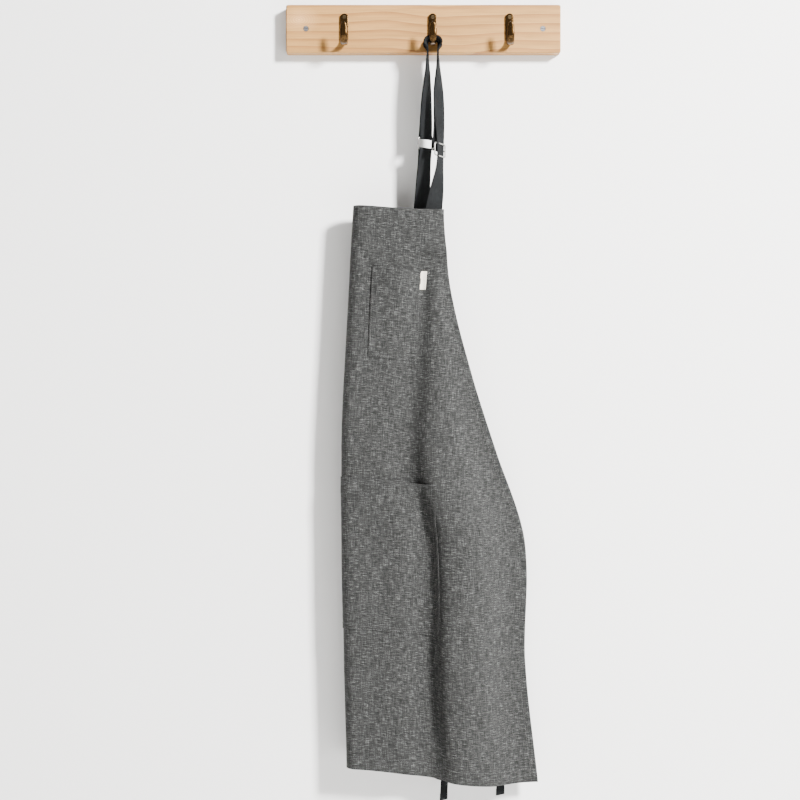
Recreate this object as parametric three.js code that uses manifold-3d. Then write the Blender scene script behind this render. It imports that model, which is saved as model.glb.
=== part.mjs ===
// An apron hanging by its neck strap on the middle hook of a wooden hook rack.
// Millimetres, +Z up. The origin is the centre of the board's back face, which rests on the wall.
// +X is to the right and -Y points out of the wall, towards a person who stands in front of it.
import * as THREE from 'three';
import { mergeVertices } from 'three/addons/utils/BufferGeometryUtils.js';
import Module from 'manifold-3d';

const wasm = await Module();
wasm.setup();

// ---- driving dimensions -------------------------------------------------------------------
const CLEAR = 0.3;                    // gap between pieces that touch

// hook rack
const BOARD = { width: 400, height: 70, depth: 20, edge: 1.5, corner: 3 };
const HOOK_X = [-115, 13.5, 125.5];
const HOOK_NAMES = ['left', 'middle', 'right'];
const WALL_SCREW_X = [-171, 174];
const PLATE = { width: 12, thick: 2.5, top: 21.7, bottom: -20 };
const ARM = { width: 10, floor: 4, tongue: 3.6, throat: 27, inner: 10, lowest: -27, tip: 3, flare: 1.5 };
const HOOK_SCREW = { up: 16.4, down: -3.5, head: 5.4, shank: 2.8, sink: 1.6, length: 14 };
const WALL_SCREW = { head: 8, shank: 4.2, sink: 3.6 };

// webbing
const STRAP = { width: 24, thick: 1.1 };
const LAYER = STRAP.thick / 2 + 0.1;  // from the middle of a doubled strap to the middle of a layer
const TIE = { width: 16, thick: 1.3 };

// cloth, measured on the flat pattern: t runs down from the bib's top edge, s out from the centre fold
const CLOTH = 1.8;
const FLAT = { length: 825, bibHalf: 138.5, skirtHalf: 300, waist: 455 };
const FOLD_RADIUS = 14;               // of the turn at the centre fold
const FRONT_Y = -55;                  // plane that the front half hangs in
const BIB_TOP_Z = -260.6;
const CHEST_POCKET = { from: 40, to: 112, top: 88, bottom: 220, gap: 0.9, gape: 6.5 };
const WAIST_POCKET = { half: 155, top: 398, bottom: 620, gap: 1, gape: 9, gapeAt: 106, gapeWidth: 26 };
const POCKET_CLOTH = 0.9;
const LABEL = { width: 8, height: 27, thick: 0.8, below: 0, off: 2.15 };

// where the hanging cloth lies, as [t, value]
const FOLD_X = [[0, -101], [180, -110.5], [345, -118], [640, -115], [825, -110.5]];
const FRONT_EDGE_X = [[0, 30], [112, 38.5], [235, 69], [350, 106], [455, 143], [520, 150], [650, 148], [825, 166]];
const REAR_EDGE_X = [[0, 9.5], [112, 29], [235, 56], [350, 84], [455, 108], [560, 102], [825, 98]];
const RISE_S = [[0, 125], [225, 125], [380, 127], [470, 150], [825, 152]];  // slope between valley and ridge
const REAR_WAVE = 86;                 // length of cloth in one wave of the rear half

// ring, slider and the hinge where the strap rocks on the hook
const RING = { inWidth: 25.8, inHeight: 14, wire: 2.2, z: -169 };
const SLIDER = { inWidth: 25.4, height: 20, wire: 1.9, z: -180, travelUp: 50 };
const ROCK = { z: -22, radius: 12 };  // the strap is parted on a cylinder about the hinge
const STRAP_Y = -(BOARD.depth + PLATE.thick + ARM.throat / 2);

// ---- small tools --------------------------------------------------------------------------
const vec = (x, y, z) => new THREE.Vector3(x, y, z);

// a smooth value through [place, value] pairs
function through(table, place) {
  const last = table.length - 1;
  if (place <= table[0][0]) return table[0][1];
  if (place >= table[last][0]) return table[last][1];
  let i = 0;
  while (place > table[i + 1][0]) i += 1;
  const slopeAt = (k) => {
    const a = table[Math.max(k - 1, 0)];
    const b = table[Math.min(k + 1, last)];
    return (b[1] - a[1]) / (b[0] - a[0]);
  };
  const step = table[i + 1][0] - table[i][0];
  const u = (place - table[i][0]) / step;
  return (2 * u ** 3 - 3 * u ** 2 + 1) * table[i][1] + (u ** 3 - 2 * u ** 2 + u) * step * slopeAt(i)
    + (3 * u ** 2 - 2 * u ** 3) * table[i + 1][1] + (u ** 3 - u ** 2) * step * slopeAt(i + 1);
}

const smooth = (u) => {
  const v = Math.min(Math.max(u, 0), 1);
  return v * v * (3 - 2 * v);
};
const bump = (u) => Math.exp(-u * u);

// merged, positions only, faces outwards
function closed(geometry) {
  const bare = new THREE.BufferGeometry();
  bare.setAttribute('position', geometry.getAttribute('position').clone());
  if (geometry.index) bare.setIndex(geometry.index.clone());
  const merged = mergeVertices(bare, 1e-4);
  const at = merged.getAttribute('position');
  const index = Array.from(merged.index.array);
  const kept = [];
  let volume = 0;
  for (let i = 0; i < index.length; i += 3) {
    const [a, b, c] = index.slice(i, i + 3);
    if (a === b || b === c || c === a) continue;
    const [p, q, r] = [a, b, c].map((k) => new THREE.Vector3().fromBufferAttribute(at, k));
    volume += p.dot(q.cross(r));
    kept.push(a, b, c);
  }
  if (volume < 0) kept.reverse();
  merged.setIndex(kept);
  return merged;
}

function solidOf(geometry) {
  const shape = closed(geometry);
  return new wasm.Manifold(new wasm.Mesh({
    numProp: 3,
    vertProperties: new Float32Array(shape.getAttribute('position').array),
    triVerts: new Uint32Array(shape.index.array),
  }));
}

function geometryOf(solid) {
  const mesh = solid.getMesh();
  const geometry = new THREE.BufferGeometry();
  geometry.setAttribute('position', new THREE.BufferAttribute(new Float32Array(mesh.vertProperties), 3));
  geometry.setIndex(Array.from(mesh.triVerts));
  return geometry;
}

// an outline in X and Z, pushed out of the wall from y = from to y = to (both negative or zero)
function outOfWall(shape, from, to, edge = 0) {
  const depth = from - to;
  const geometry = new THREE.ExtrudeGeometry(shape, {
    depth: depth - 2 * edge, bevelEnabled: edge > 0, bevelThickness: edge, bevelSize: edge,
    bevelOffset: -edge, bevelSegments: 1, curveSegments: 5,
  });
  geometry.translate(0, 0, edge);
  geometry.rotateX(Math.PI / 2);
  geometry.translate(0, from, 0);
  return geometry;
}

// an outline in Y and Z, made width wide in X about x = 0
function acrossX(shape, width, edge) {
  const geometry = new THREE.ExtrudeGeometry(shape, {
    depth: width - 2 * edge, bevelEnabled: true, bevelThickness: edge, bevelSize: edge,
    bevelOffset: -edge, bevelSegments: 1, curveSegments: 5,
  });
  geometry.translate(0, 0, edge - width / 2);
  geometry.applyMatrix4(new THREE.Matrix4().makeBasis(vec(0, 1, 0), vec(0, 0, 1), vec(1, 0, 0)));
  return geometry;
}

function roundedOutline(left, right, low, high, radius) {
  const shape = new THREE.Shape();
  shape.moveTo(left + radius, low);
  shape.lineTo(right - radius, low);
  shape.absarc(right - radius, low + radius, radius, -Math.PI / 2, 0);
  shape.lineTo(right, high - radius);
  shape.absarc(right - radius, high - radius, radius, 0, Math.PI / 2);
  shape.lineTo(left + radius, high);
  shape.absarc(left + radius, high - radius, radius, Math.PI / 2, Math.PI);
  shape.lineTo(left, low + radius);
  shape.absarc(left + radius, low + radius, radius, Math.PI, 1.5 * Math.PI);
  return shape;
}

// a round piece about an axis that points out of the wall; the profile is [radius, y]
const turned = (profile, sides = 20) => new THREE.LatheGeometry(profile.map(([r, y]) => new THREE.Vector2(r, y)), sides);

const materials = {
  pine: new THREE.MeshStandardMaterial({ color: 0xd9b98c, roughness: 0.6 }),
  brass: new THREE.MeshStandardMaterial({ color: 0x4a3520, roughness: 0.35, metalness: 0.9 }),
  steel: new THREE.MeshStandardMaterial({ color: 0x6f6a62, roughness: 0.45, metalness: 0.9 }),
  nickel: new THREE.MeshStandardMaterial({ color: 0xc4c6c8, roughness: 0.2, metalness: 1 }),
  webbing: new THREE.MeshStandardMaterial({ color: 0x1c1d1f, roughness: 0.85 }),
  linen: new THREE.MeshStandardMaterial({ color: 0x6d6f70, roughness: 0.9 }),
  label: new THREE.MeshStandardMaterial({ color: 0xe6dfcc, roughness: 0.85 }),
};

const apronOnHook = new THREE.Group();

function add(name, geometry, material, x = 0, y = 0, z = 0) {
  const mesh = new THREE.Mesh(geometry, material);
  mesh.name = name;
  mesh.position.set(x, y, z);
  apronOnHook.add(mesh);
}

// ---- board, hooks and screws --------------------------------------------------------------
// countersunk screw with a slot; it stands on y = 0 with its head at -y, and cut is the same shape grown by grow
function screwShape(size, length, grow = 0) {
  const rim = size.head / 2 + grow;
  const core = size.shank / 2 + grow;
  return turned([[0, grow], [core, grow], [core, -length + size.sink], [rim, -length - grow * 0.1], [rim, -length - 0.3],
    [0, -length - 0.3]].map(([r, y]) => [r, grow > 0 && y < -length - 0.2 ? -length - 4 : y]), 16);
}

function slottedScrew(size, length) {
  const slot = new THREE.BoxGeometry(size.head * 1.2, 1.6, size.head * 0.16);
  slot.translate(0, -length - 0.3, 0);
  return geometryOf(solidOf(screwShape(size, length)).subtract(solidOf(slot)));
}

const hookScrewZ = { upper: HOOK_SCREW.up, lower: HOOK_SCREW.down };

function backboard() {
  const half = BOARD.width / 2;
  const outline = roundedOutline(-half, half, -BOARD.height / 2, BOARD.height / 2, BOARD.corner);
  let board = solidOf(outOfWall(outline, 0, -BOARD.depth, BOARD.edge));
  for (const x of WALL_SCREW_X) {
    const hole = screwShape(WALL_SCREW, BOARD.depth, CLEAR);
    hole.translate(x, 0, 0);
    board = board.subtract(solidOf(hole));
  }
  const reach = HOOK_SCREW.length - PLATE.thick;
  for (const x of HOOK_X) {
    for (const z of Object.values(hookScrewZ)) {
      const radius = HOOK_SCREW.shank / 2 + CLEAR;
      const hole = turned([[0, reach + CLEAR], [radius, reach + CLEAR], [radius, -1], [0, -1]], 12);
      hole.translate(x, -BOARD.depth, z);
      board = board.subtract(solidOf(hole));
    }
  }
  return geometryOf(board);
}

// flat plate with round ends, and a J-shaped arm that leaves its lower end and turns up in front
function hook() {
  const face = -BOARD.depth - CLEAR;
  const plateFront = face - PLATE.thick;
  const half = PLATE.width / 2;
  const plate = outOfWall(roundedOutline(-half, half, PLATE.bottom, PLATE.top, half - 0.1), face, plateFront, 0.5);
  const floorTop = ARM.lowest + ARM.floor;
  const turnZ = floorTop + ARM.inner;
  const nearY = plateFront - ARM.inner;
  const farY = plateFront - ARM.throat + ARM.inner;
  const tongueIn = plateFront - ARM.throat;
  const tongueOut = tongueIn - ARM.tongue;
  const rise = turnZ - ARM.lowest;
  const side = new THREE.Shape();
  side.moveTo(face, turnZ + 4);
  side.lineTo(face, turnZ);
  side.absellipse(nearY, turnZ, face - nearY, rise, 0, -Math.PI / 2, true);
  side.lineTo(farY, ARM.lowest);
  side.absellipse(farY, turnZ, farY - tongueOut, rise, -Math.PI / 2, -Math.PI, true);
  side.lineTo(tongueOut - ARM.flare, ARM.tip - ARM.tongue / 2);
  side.absarc(tongueOut - ARM.flare + ARM.tongue / 2, ARM.tip - ARM.tongue / 2, ARM.tongue / 2, Math.PI, 0, true);
  side.lineTo(tongueIn, turnZ);
  side.absarc(farY, turnZ, ARM.inner, Math.PI, 1.5 * Math.PI);
  side.lineTo(nearY, floorTop);
  side.absarc(nearY, turnZ, ARM.inner, -Math.PI / 2, 0);
  side.lineTo(plateFront, turnZ + 4);
  const arm = solidOf(acrossX(side, ARM.width, 0.8));
  const tongueRound = ARM.width / 2 - 0.05;
  const front = outOfWall(roundedOutline(-ARM.width / 2 - 0.01, ARM.width / 2 + 0.01, ARM.lowest - 10, ARM.tip + 0.5,
    tongueRound), face + 5, tongueOut - 10);
  let solid = solidOf(plate).add(arm.intersect(solidOf(front)));
  for (const z of Object.values(hookScrewZ)) {
    const hole = screwShape(HOOK_SCREW, PLATE.thick, CLEAR);
    hole.translate(0, face, z);
    solid = solid.subtract(solidOf(hole));
  }
  return geometryOf(solid);
}

add('backboard', backboard(), materials.pine);
WALL_SCREW_X.forEach((x, i) => {
  add(`wall_screw_${['left', 'right'][i]}`, slottedScrew(WALL_SCREW, BOARD.depth), materials.steel, x, 0, 0);
});
HOOK_X.forEach((x, i) => {
  add(`hook_${HOOK_NAMES[i]}`, hook(), materials.brass, x, 0, 0);
  for (const [level, z] of Object.entries(hookScrewZ)) {
    const screw = slottedScrew(HOOK_SCREW, HOOK_SCREW.length);
    const headY = -BOARD.depth - CLEAR - PLATE.thick + HOOK_SCREW.length;
    add(`hook_screw_${HOOK_NAMES[i]}_${level}`, screw, materials.brass, x, headY, z);
  }
});

// ---- the hanging cloth --------------------------------------------------------------------
// Half the flat pattern's width at t: the armhole curve, then the straight side of the skirt.
function halfWidth(t) {
  const down = Math.min(Math.max(t / FLAT.waist, 0), 1);
  return FLAT.bibHalf + (FLAT.skirtHalf - FLAT.bibHalf) * down ** 1.55;
}

const TURN_LENGTH = FOLD_RADIUS * Math.PI / 2;
const STEP = 1.5;                     // length of cloth between two samples of a row

// direction of the cloth, as an angle from +X, at s along the front half: a valley, a ridge and a curl back
function frontAngle(s, t, size) {
  if (s < TURN_LENGTH) return -Math.PI / 2 * (1 - s / TURN_LENGTH);
  const rise = through(RISE_S, t);
  const rest = halfWidth(t) - rise;
  const steep = 6 + 0.09 * rest;
  const ridge = smooth((rest - 14) / 34);
  return size * (0.5 * bump((s - rise + 1.6 * steep + 14) / 16) - ridge * bump((s - rise) / steep)
    + 0.8 * ridge * bump((s - rise - 0.64 * rest) / (0.27 * rest))) + 0.22 * bump((halfWidth(t) - s) / 25) * bump(t / 90);
}

// the rear half: waves that grow away from the fold
function rearAngle(s, t, size) {
  if (s < TURN_LENGTH) return Math.PI / 2 * (1 - s / TURN_LENGTH);
  const grow = 0.62 + 0.38 * smooth((s - 40) / 110);
  const stiff = bump(t / 100) * smooth((s - 98) / 16);   // the sewn webbing keeps the bib corner flat
  return size * grow * Math.sin(2 * Math.PI * (s - TURN_LENGTH) / REAR_WAVE) * (1 - stiff) + 0.4 * stiff;
}

// one half of a row as points at every STEP of cloth, from the fold out
function halfRow(angle, t, size) {
  const count = Math.ceil(halfWidth(t) / STEP);
  const step = halfWidth(t) / count;
  const row = [[0, 0]];
  for (let i = 0; i < count; i += 1) {
    const turn = angle((i + 0.5) * step, t, size);
    const [x, y] = row[i];
    row.push([x + step * Math.cos(turn), y + step * Math.sin(turn)]);
  }
  return row;
}

// the fold size that brings the free edge to its place
function fittedRow(angle, t, reach, largest) {
  let [low, high] = [0, largest];
  for (let i = 0; i < 26; i += 1) {
    const middle = (low + high) / 2;
    if (halfRow(angle, t, middle).at(-1)[0] > reach) low = middle;
    else high = middle;
  }
  return halfRow(angle, t, low);
}

const rows = new Map();
function rowAt(t) {
  const key = t.toFixed(3);
  if (!rows.has(key)) {
    const foldX = through(FOLD_X, t);
    rows.set(key, {
      foldX,
      front: fittedRow(frontAngle, t, through(FRONT_EDGE_X, t) - foldX, 1.5),
      rear: fittedRow(rearAngle, t, through(REAR_EDGE_X, t) - foldX, 1.9),
    });
  }
  return rows.get(key);
}

// middle of the cloth at s (front half positive, rear half negative) and t
function clothPoint(s, t) {
  const row = rowAt(t);
  const half = s >= 0 ? row.front : row.rear;
  const place = Math.min(Math.abs(s) / halfWidth(t), 1) * (half.length - 1);
  const i = Math.min(Math.floor(place), half.length - 2);
  const mix = place - i;
  const x = half[i][0] * (1 - mix) + half[i + 1][0] * mix;
  const y = half[i][1] * (1 - mix) + half[i + 1][1] * mix;
  const droop = (6 + 18 * t / FLAT.length) * smooth(Math.abs(s) / (0.8 * halfWidth(t)));
  return vec(row.foldX + x, FRONT_Y + FOLD_RADIUS + y, BIB_TOP_Z - 0.981 * t - droop);
}

// the side of the cloth that faces out when the apron is worn
function clothNormal(s, t) {
  const across = clothPoint(s + 1, t).sub(clothPoint(s - 1, t));
  const down = clothPoint(s, t + 2).sub(clothPoint(s, t - 2));
  return down.cross(across).normalize();
}

const onCloth = (s, t, out) => clothPoint(s, t).addScaledVector(clothNormal(s, t), out);

// closed sheet between two faces: place(u, v, side) gives a corner, side 1 outside and 0 inside
function sheet(us, vs, place) {
  const points = [];
  const at = (i, j, side) => (side * vs.length + j) * us.length + i;
  for (const side of [0, 1]) for (const v of vs) for (const u of us) points.push(...place(u, v, side).toArray());
  const index = [];
  const quad = (a, b, c, d) => index.push(a, b, c, a, c, d);
  for (let j = 0; j + 1 < vs.length; j += 1) {
    for (let i = 0; i + 1 < us.length; i += 1) {
      quad(at(i, j, 1), at(i, j + 1, 1), at(i + 1, j + 1, 1), at(i + 1, j, 1));
      quad(at(i, j, 0), at(i + 1, j, 0), at(i + 1, j + 1, 0), at(i, j + 1, 0));
    }
    quad(at(0, j, 0), at(0, j + 1, 0), at(0, j + 1, 1), at(0, j, 1));
    const end = us.length - 1;
    quad(at(end, j, 1), at(end, j + 1, 1), at(end, j + 1, 0), at(end, j, 0));
  }
  for (let i = 0; i + 1 < us.length; i += 1) {
    quad(at(i, 0, 1), at(i + 1, 0, 1), at(i + 1, 0, 0), at(i, 0, 0));
    const end = vs.length - 1;
    quad(at(i, end, 0), at(i + 1, end, 0), at(i + 1, end, 1), at(i, end, 1));
  }
  const geometry = new THREE.BufferGeometry();
  geometry.setAttribute('position', new THREE.Float32BufferAttribute(points, 3));
  geometry.setIndex(index);
  return closed(geometry);
}

const spread = (from, to, count) => Array.from({ length: count + 1 }, (_, i) => from + (to - from) * i / count);

// rows and columns of the mesh; the pockets share them, so that their faces lie alike
const PANEL_ROWS = [...spread(0, CHEST_POCKET.top, 2), ...spread(CHEST_POCKET.top, CHEST_POCKET.bottom, 3).slice(1),
  ...spread(CHEST_POCKET.bottom, WAIST_POCKET.top, 4).slice(1), ...spread(WAIST_POCKET.top, WAIST_POCKET.bottom, 5).slice(1),
  ...spread(WAIST_POCKET.bottom, FLAT.length, 4).slice(1)];
const FRONT_COLUMNS = [...spread(0, 20, 4), ...spread(20, CHEST_POCKET.from, 2).slice(1),
  ...spread(CHEST_POCKET.from, CHEST_POCKET.to, 7).slice(1), ...spread(CHEST_POCKET.to, WAIST_POCKET.half, 4).slice(1)];
const REAR_COLUMNS = [...spread(0, 20, 4), ...spread(20, CHEST_POCKET.to, 13).slice(1),
  ...spread(CHEST_POCKET.to, WAIST_POCKET.half, 6).slice(1)];
const pocketColumns = [...REAR_COLUMNS.map((s) => -s).reverse(), ...FRONT_COLUMNS.slice(1)];
const panelColumns = [...spread(-FLAT.skirtHalf, -WAIST_POCKET.half, 20).slice(0, -1), ...pocketColumns,
  ...spread(WAIST_POCKET.half, FLAT.skirtHalf, 12).slice(1)];

// the columns beside the bib close up where the cloth is narrower than the skirt
function columnAt(s, t) {
  const size = Math.abs(s);
  if (size <= CHEST_POCKET.to) return s;
  const share = (halfWidth(t) - CHEST_POCKET.to) / (FLAT.skirtHalf - CHEST_POCKET.to);
  return Math.sign(s) * (CHEST_POCKET.to + (size - CHEST_POCKET.to) * share);
}

add('apron_panel', sheet(panelColumns, PANEL_ROWS, (s, t, side) => (
  onCloth(columnAt(s, t), t, (side - 0.5) * CLOTH))), materials.linen);

// patch pockets: close to the panel along the sides and the bottom, and gaping at the mouth;
// the waist pocket's doubled side seams stand a little proud
const SEAM = { from: 122, over: 22, proud: 0.9 };
function pocketGap(s, t, pocket, middle, width) {
  const down = (t - pocket.top) / (pocket.bottom - pocket.top);
  const seam = SEAM.proud * smooth((Math.abs(s) - SEAM.from) / SEAM.over);
  return pocket.gap + seam + pocket.gape * bump((s - middle) / width) * (1 - smooth(down * 1.15));
}

function pocket(us, vs, size, middle, width) {
  const edges = [us[0], us.at(-1)];
  return sheet(us, vs, (u, t, side) => {
    const s = edges.includes(u) ? u : columnAt(u, t);
    return onCloth(s, t, CLOTH / 2 + pocketGap(s, t, size, middle, width) + side * POCKET_CLOTH);
  });
}

const chestMiddle = (CHEST_POCKET.from + CHEST_POCKET.to) / 2;
const chestWidth = (CHEST_POCKET.to - CHEST_POCKET.from) * 0.36;
const covers = (size) => PANEL_ROWS.filter((t) => t >= size.top && t <= size.bottom);
add('chest_pocket', pocket(FRONT_COLUMNS.filter((s) => s >= CHEST_POCKET.from && s <= CHEST_POCKET.to),
  covers(CHEST_POCKET), CHEST_POCKET, chestMiddle, chestWidth), materials.linen);
add('waist_pocket', pocket(pocketColumns, covers(WAIST_POCKET), WAIST_POCKET, WAIST_POCKET.gapeAt,
  WAIST_POCKET.gapeWidth), materials.linen);

// cloth label, sewn into the chest pocket's side
const labelFrom = CHEST_POCKET.to + 2 * CLEAR;
const labelTop = CHEST_POCKET.top + LABEL.below;
add('side_label', sheet(spread(labelFrom, labelFrom + LABEL.width, 2), spread(labelTop, labelTop + LABEL.height, 2),
  (s, t, side) => onCloth(s, t, CLOTH / 2 + LABEL.off + side * LABEL.thick)), materials.label);

// ---- webbing ------------------------------------------------------------------------------
// A strand is a list of stations, each with its middle p, its width direction w and its outer normal n.
function station(x, y, z, degrees) {
  const turn = THREE.MathUtils.degToRad(degrees);
  return { p: vec(x, y, z), w: vec(Math.sin(turn), Math.cos(turn), 0), n: vec(Math.cos(turn), -Math.sin(turn), 0), cup: 0 };
}

// closed band along stations; shift moves it along the normals, and cup lifts its two edges
function band(stations, width, thick, shift = 0, columns = 2) {
  return sheet(spread(-1, 1, columns), spread(0, stations.length - 1, stations.length - 1), (u, k, side) => {
    const { p, w, n, cup } = stations[k];
    return p.clone().addScaledVector(w, u * width / 2).addScaledVector(n, shift + (side - 0.5) * thick + cup * u * u);
  });
}

function between(a, b, share) {
  const w = a.w.clone().lerp(b.w, share).normalize();
  const n = a.n.clone().lerp(b.n, share);
  n.addScaledVector(w, -n.dot(w)).normalize();
  return { p: a.p.clone().lerp(b.p, share), w, n, cup: a.cup + (b.cup - a.cup) * share };
}

const rockAxis = { x: HOOK_X[1], z: ROCK.z };
function rockCylinder(radius) {
  const cylinder = new THREE.CylinderGeometry(radius, radius, 80, 40);
  cylinder.translate(rockAxis.x, STRAP_Y, rockAxis.z);
  return solidOf(cylinder);
}
const inside = rockCylinder(ROCK.radius);
const outside = rockCylinder(ROCK.radius + CLEAR);

// the doubled strap lies in the hook, follows its round floor across, and bends down at both sides
const DOUBLE = 2 * STRAP.thick + 0.2;
const SIDE_X = 7.7;
const FLOOR_CUP = 5.4;                // rise of the strap's edges in the hook's round floor
function strapOverHook() {
  const bend = 3;
  const top = ARM.lowest + ARM.floor + CLEAR + DOUBLE / 2;
  const stations = [];
  const put = (x, z, degrees) => {
    const turn = THREE.MathUtils.degToRad(degrees);
    stations.push({
      p: vec(HOOK_X[1] + x, STRAP_Y, z), w: vec(0, 1, 0), n: vec(Math.sin(turn), 0, Math.cos(turn)),
      cup: z > top - bend - 0.1 ? FLOOR_CUP : 1.6,
    });
  };
  put(-SIDE_X, ROCK.z - ROCK.radius - 3, -90);
  for (const degrees of spread(-90, 0, 4)) {
    const turn = THREE.MathUtils.degToRad(degrees);
    put(-SIDE_X + bend + bend * Math.sin(turn), top - bend + bend * Math.cos(turn), degrees);
  }
  for (const degrees of spread(0, 90, 4)) {
    const turn = THREE.MathUtils.degToRad(degrees);
    put(SIDE_X - bend + bend * Math.sin(turn), top - bend + bend * Math.cos(turn), degrees);
  }
  put(SIDE_X, ROCK.z - ROCK.radius - 3, 90);
  return geometryOf(solidOf(band(stations, STRAP.width, DOUBLE, 0, 6)).intersect(inside));
}
add('neck_strap_over_hook', strapOverHook(), materials.webbing);

// where a strap is sewn to the inner side of a bib corner
const SEWN = { inset: 14, depth: 22 };
function sewnStation(front, t, lift) {
  const s = (front ? 1 : -1) * (halfWidth(0) - SEWN.inset);
  const n = clothNormal(s, t);
  const w = clothPoint(s + 2, t).sub(clothPoint(s - 2, t)).multiplyScalar(front ? 1 : -1).normalize();
  const inward = CLOTH / 2 + 3 * CLEAR + lift;
  return { p: clothPoint(s, t).addScaledVector(n, -inward), w, n: front ? n : n.clone().negate(), cup: 0 };
}

// front strand: twisted, then straight where the slider runs, then twisted to lie on the bib
const frontStraightX = 21.6;
const FRONT_TURN = 34;
const frontTop = station(HOOK_X[1] + SIDE_X, STRAP_Y, ROCK.z - ROCK.radius + 3, 0);
const frontStrand = [
  { ...frontTop, cup: 1.2 },
  station(21.3, STRAP_Y, -50, 7),
  station(21.4, STRAP_Y, -62, 13),
  station(21.5, -37, -78, 24),
  station(frontStraightX, -38, -95, FRONT_TURN),
];
const straightEnd = station(frontStraightX, -44, -215, FRONT_TURN);
const frontSewn = sewnStation(true, -4, DOUBLE / 2);
const frontPath = [...frontStrand, straightEnd,
  ...[0.25, 0.5, 0.75].map((share) => between(straightEnd, frontSewn, share)),
  ...spread(-4, SEWN.depth, 3).map((t) => sewnStation(true, t, DOUBLE / 2))];
add('neck_strap_front_run', geometryOf(solidOf(band(frontPath, STRAP.width, STRAP.thick, LAYER)).subtract(outside)),
  materials.webbing);

// its second layer, coming back from the ring, ends where the slider's end loop stands at its highest
const straightTop = frontStrand.at(-1);
const alongStraight = (z) => between(straightTop, straightEnd, (z - straightTop.p.z) / (straightEnd.p.z - straightTop.p.z));
const LOOP_TAIL = 17;
const returnEnd = SLIDER.z + SLIDER.travelUp + LOOP_TAIL + 1;
add('neck_strap_return', geometryOf(solidOf(band([...frontStrand, alongStraight(returnEnd)], STRAP.width, STRAP.thick,
  -LAYER)).subtract(outside)), materials.webbing);

// a strap that comes down to a bar, goes round it and comes back: legs are stations from far to near
function loopedStrap(stations, bar, barRadius, layerAt) {
  const wrap = barRadius + CLEAR + STRAP.thick / 2;
  const away = bar.p.clone().sub(stations.at(-1).p).normalize();
  const leg = (sign) => stations.map((one, k) => ({
    ...one, p: one.p.clone().addScaledVector(one.n, sign * layerAt(k, wrap)), n: one.n.clone().multiplyScalar(sign),
    cup: sign * one.cup,
  }));
  const round = spread(90, -90, 8).map((degrees) => {
    const turn = THREE.MathUtils.degToRad(degrees);
    const n = bar.n.clone().multiplyScalar(Math.sin(turn)).addScaledVector(away, Math.cos(turn)).normalize();
    return { p: bar.p.clone().addScaledVector(n, wrap), w: bar.w, n, cup: 0 };
  });
  return band([...leg(1), ...round, ...leg(-1).reverse()], STRAP.width, STRAP.thick, 0, 6);
}

// rear strand: the doubled strap comes down and passes through the ring
const ringStation = station(2.5, -30.5, RING.z, 46);
const ringUp = vec(6 - 2.5, STRAP_Y + 30.5, 108).normalize();
function orient(one, up) {
  const w = one.w.clone().addScaledVector(up, -one.w.dot(up)).normalize();
  return { ...one, w, n: w.clone().cross(up).multiplyScalar(-1).normalize() };
}
const ring = orient(ringStation, ringUp);
if (ring.n.dot(ringStation.n) < 0) ring.n.negate();
const barAt = (distance) => ({ ...ring, p: ring.p.clone().addScaledVector(ringUp, distance) });
const barOut = (RING.inHeight + RING.wire) / 2;
const rearStrand = [
  { ...station(HOOK_X[1] - SIDE_X, STRAP_Y, ROCK.z - ROCK.radius + 3, 0), cup: -1.2 },
  station(5.9, STRAP_Y, -50, 7),
  station(6, STRAP_Y, -62, 13),
  station(5.2, -35, -84, 25),
  station(4.4, -34, -105, 35),
  { ...ring, p: ring.p.clone().addScaledVector(ringUp, 30) },
  { ...ring, p: ring.p.clone().addScaledVector(ringUp, barOut + 6) },
];
const rearLayer = (k, wrap) => (k < rearStrand.length - 1 ? LAYER : (LAYER + wrap) / 2 + 0.3);
add('neck_strap_rear_run', geometryOf(solidOf(loopedStrap(rearStrand, barAt(barOut), RING.wire / 2, rearLayer))
  .subtract(outside)), materials.webbing);

// short strap: sewn to the rear bib corner, up round the ring's lower bar and back
const rearSewn = (t) => sewnStation(false, t, DOUBLE / 2);
const shortTop = { ...ring, p: ring.p.clone().addScaledVector(ringUp, -barOut - 6) };
const shortStrand = [
  ...spread(SEWN.depth, -4, 3).map(rearSewn),
  ...spread(0, 1, 10).slice(1, -1).map((share) => between(rearSewn(-4), shortTop, share)),
  shortTop,
];
const shortLayer = (k, wrap) => (k < shortStrand.length - 1 ? LAYER : (LAYER + wrap) / 2 + 0.3);
add('ring_strap', loopedStrap(shortStrand, barAt(-barOut), RING.wire / 2, shortLayer), materials.webbing);

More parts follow.
